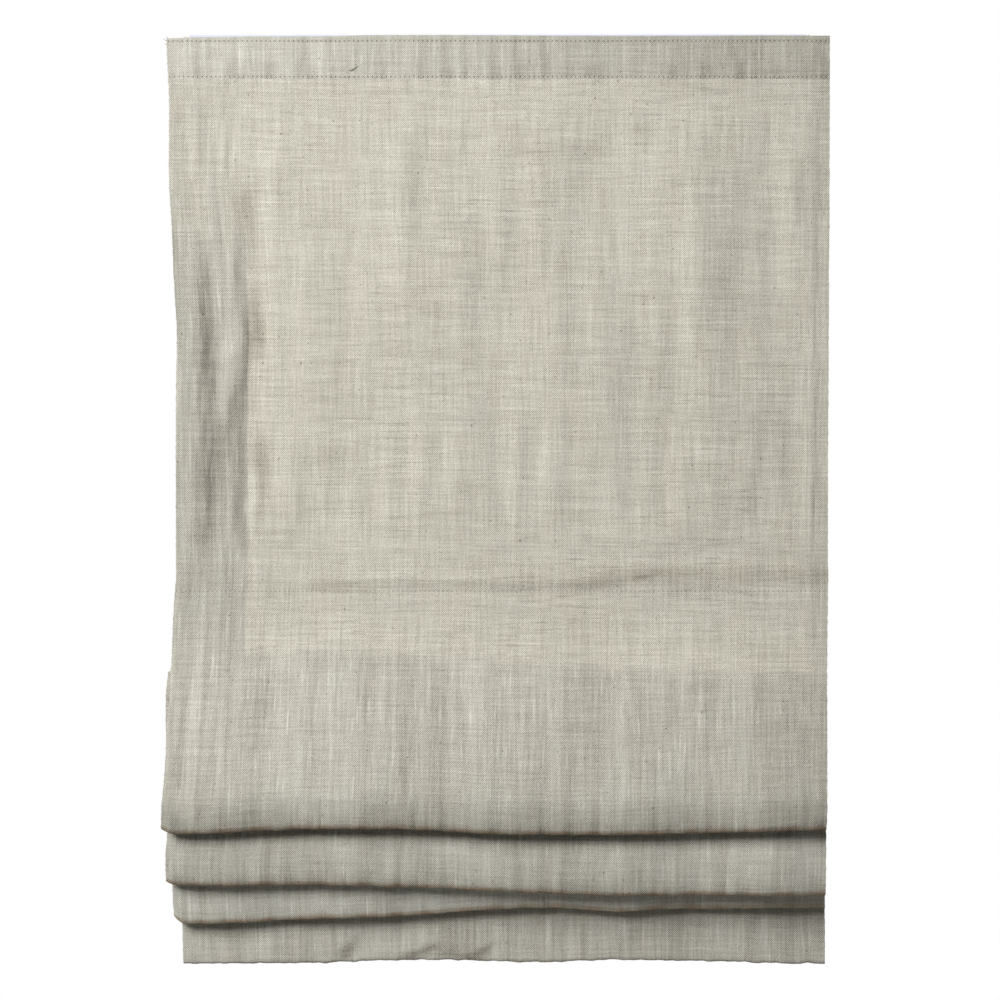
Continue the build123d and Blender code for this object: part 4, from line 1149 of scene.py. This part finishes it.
def buildCords():
    shaftLow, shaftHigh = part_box("drive_shaft")
    shaftY = (shaftLow.y + shaftHigh.y) / 2
    for side, sign in (("left", -1), ("right", 1)):
        low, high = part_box(f"lift_cord_{side}")
        ringLow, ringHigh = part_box(f"ring_4_{side}")
        cordX = (ringLow.x + ringHigh.x) / 2
        cordY = (ringLow.y + ringHigh.y) / 2
        windRadius = shaftY - cordY
        outer = high.x if sign > 0 else low.x
        points = []
        # the last turn ends at the foot of the cone, on the front of the drum, where the cord leaves
        total = liftCord["turns"] * liftCord["pointsPerTurn"]
        for index in range(total + 1):
            back = index / liftCord["pointsPerTurn"]
            angle = math.pi + back * 2 * math.pi
            x = cordX - sign * back * liftCord["pitch"] * (1 - 1 / liftCord["turns"])
            swell = 1 / math.cos(math.pi / liftCord["pointsPerTurn"] * 0.55)
            points.append((x, shaftY + windRadius * math.cos(angle) * swell,
                           windRadius * math.sin(angle) * swell))
        coil = tubeAlong(f"cord_turns_{side}", points, liftCord["radius"])
        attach(coil, "lift_shaft")
        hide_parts(f"lift_cord_{side}")
        stops = [0.0, *rodZ[:3], low.z]
        for index in range(4):
            top, foot = stops[index], stops[index + 1]
            steps = np.linspace(top, foot, 12)
            run = tubeAlong(f"cord_run_{side}_{index + 1}", [(cordX, cordY, z) for z in steps],
                            liftCord["radius"], 2)
            if index == 0:
                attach(run, "head")
                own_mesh(run)
            else:
                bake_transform(run)
    print("cords ready")


buildCords()

# Loose threads at the header's corner and seam: points in mm from the left end of the cloth's top edge
looseThreads = [
    [(0.5, -2.0, 0.2), (-1.2, -1.6, -0.4), (-2.4, 0.1, -0.6)],
    [(0.4, -3.6, 0.2), (-0.8, -4.4, -0.5), (-1.9, -3.9, -0.9)],
    [(1.5, -0.9, 0.3), (0.6, 0.6, -0.2), (-0.6, 1.0, -0.4)],
    [(12.4, -0.6, 0.1), (13.4, 1.1, -0.3), (14.6, 0.7, -0.5)],
    [(128.5, -25.6, -0.3), (131.0, -24.9, -0.9), (133.4, -23.2, -0.7), (135.2, -22.6, -0.5)],
    [(129.4, -26.1, -0.3), (131.3, -25.4, -0.8), (132.6, -24.6, -0.5)],
]


def buildThreads():
    leftTop = rounded(edges["leftPanel"], np.array([clothTop]))[0]
    for index, points in enumerate(looseThreads):
        places = []
        for right, up, out in points:
            x = leftX + right / 1000
            rise = rounded(edges["top"], np.array([x]))[0] if up > -10 else 0
            places.append((x + leftTop * (right < 5), headerY - halfCloth + out / 1000, clothTop + up / 1000 + rise))
        thread = tubeAlong(f"loose_thread_{index + 1}", places, 0.00017, 4, looseThread)
        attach(thread, "head")
    print("threads ready")


buildThreads()

# Stage: plain pale floor well below the blind, soft lamps, white behind
stage = {
    "floorZ": -2.0,
    "floorWhiteFrom": 0.9,    # the floor fades to the white behind it between these distances
    "floorWhiteTo": 1.55,
    # (place, width, height, watts), both soft boxes with a grid on the front
    "keyLamp": ((-1.86, -1.61, 1.43), 1.3, 2.1, 39.8),
    "rearLamp": ((1.30, 1.70, 0.90), 1.6, 1.2, 9.5),
    "lampSpread": 1.5,
    "worldLight": 0.022,
    "worldTint": (1.0, 0.90, 0.78, 1.0),
}


def addLamp(name, place, width, height, watts):
    bpy.ops.object.light_add(type="AREA", location=place)
    lamp = bpy.context.object
    lamp.name = name
    lamp.data.shape = "RECTANGLE"
    lamp.data.size = width
    lamp.data.size_y = height
    lamp.data.energy = watts
    lamp.data.spread = stage["lampSpread"]
    aim = np.array([0.0, clothFace, cameraZ]) - np.array(place)
    flat = math.hypot(aim[0], aim[1])
    lamp.rotation_euler = (math.atan2(flat, -aim[2]), 0, math.atan2(aim[1], aim[0]) - math.pi / 2)


def floorMaterial():
    material, tree, shader = newMaterial("floorPaper", Roughness=0.9)
    place = addNode(tree, "ShaderNodeTexCoord").outputs["Object"]
    soft = noiseOn(tree, place, (3, 3, 3), 2.0)
    paper = scaledColour(tree, srgb(240, 240, 238), weighted(tree, [(soft, 0.02)]))
    tree.links.new(paper, shader.inputs["Base Color"])
    distance = addNode(tree, "ShaderNodeVectorMath", {0: place}, operation="LENGTH").outputs["Value"]
    far = ramp(tree, distance, stage["floorWhiteFrom"], stage["floorWhiteTo"])
    seen = addNode(tree, "ShaderNodeLightPath").outputs["Is Camera Ray"]
    white = addNode(tree, "ShaderNodeEmission", {"Color": (1, 1, 1, 1), "Strength": 1.0})
    both = addNode(tree, "ShaderNodeMixShader", {0: math2(tree, "MULTIPLY", far, seen), 1: shader.outputs[0], 2: white.outputs[0]})
    tree.links.new(both.outputs[0], tree.nodes["Material Output"].inputs["Surface"])
    return material


def buildStage():
    for name in ("keyLamp", "rearLamp"):
        addLamp(name, *stage[name])
    deselectAll()
    bpy.ops.mesh.primitive_plane_add(size=12, location=(0, 0, stage["floorZ"]))
    floor = bpy.context.object
    floor.name = "floor"
    floor.data.materials.append(floorMaterial())

    world = bpy.data.worlds.new("studio")
    bpy.context.scene.world = world
    world.use_nodes = True
    tree = world.node_tree
    background = tree.nodes["Background"]
    rays = addNode(tree, "ShaderNodeLightPath")
    seen = math2(tree, "MAXIMUM", rays.outputs["Is Camera Ray"], rays.outputs["Is Glossy Ray"])
    seen = math2(tree, "MAXIMUM", seen, rays.outputs["Is Transmission Ray"])
    strength = addNode(tree, "ShaderNodeMapRange", {"Value": seen, "To Min": stage["worldLight"], "To Max": 1.0})
    tint = mixColour(tree, seen, stage["worldTint"], (1, 1, 1, 1))
    tree.links.new(tint, background.inputs["Color"])
    tree.links.new(strength.outputs[0], background.inputs["Strength"])
    bpy.context.scene.view_settings.view_transform = "Standard"
    print("stage ready")


buildStage()
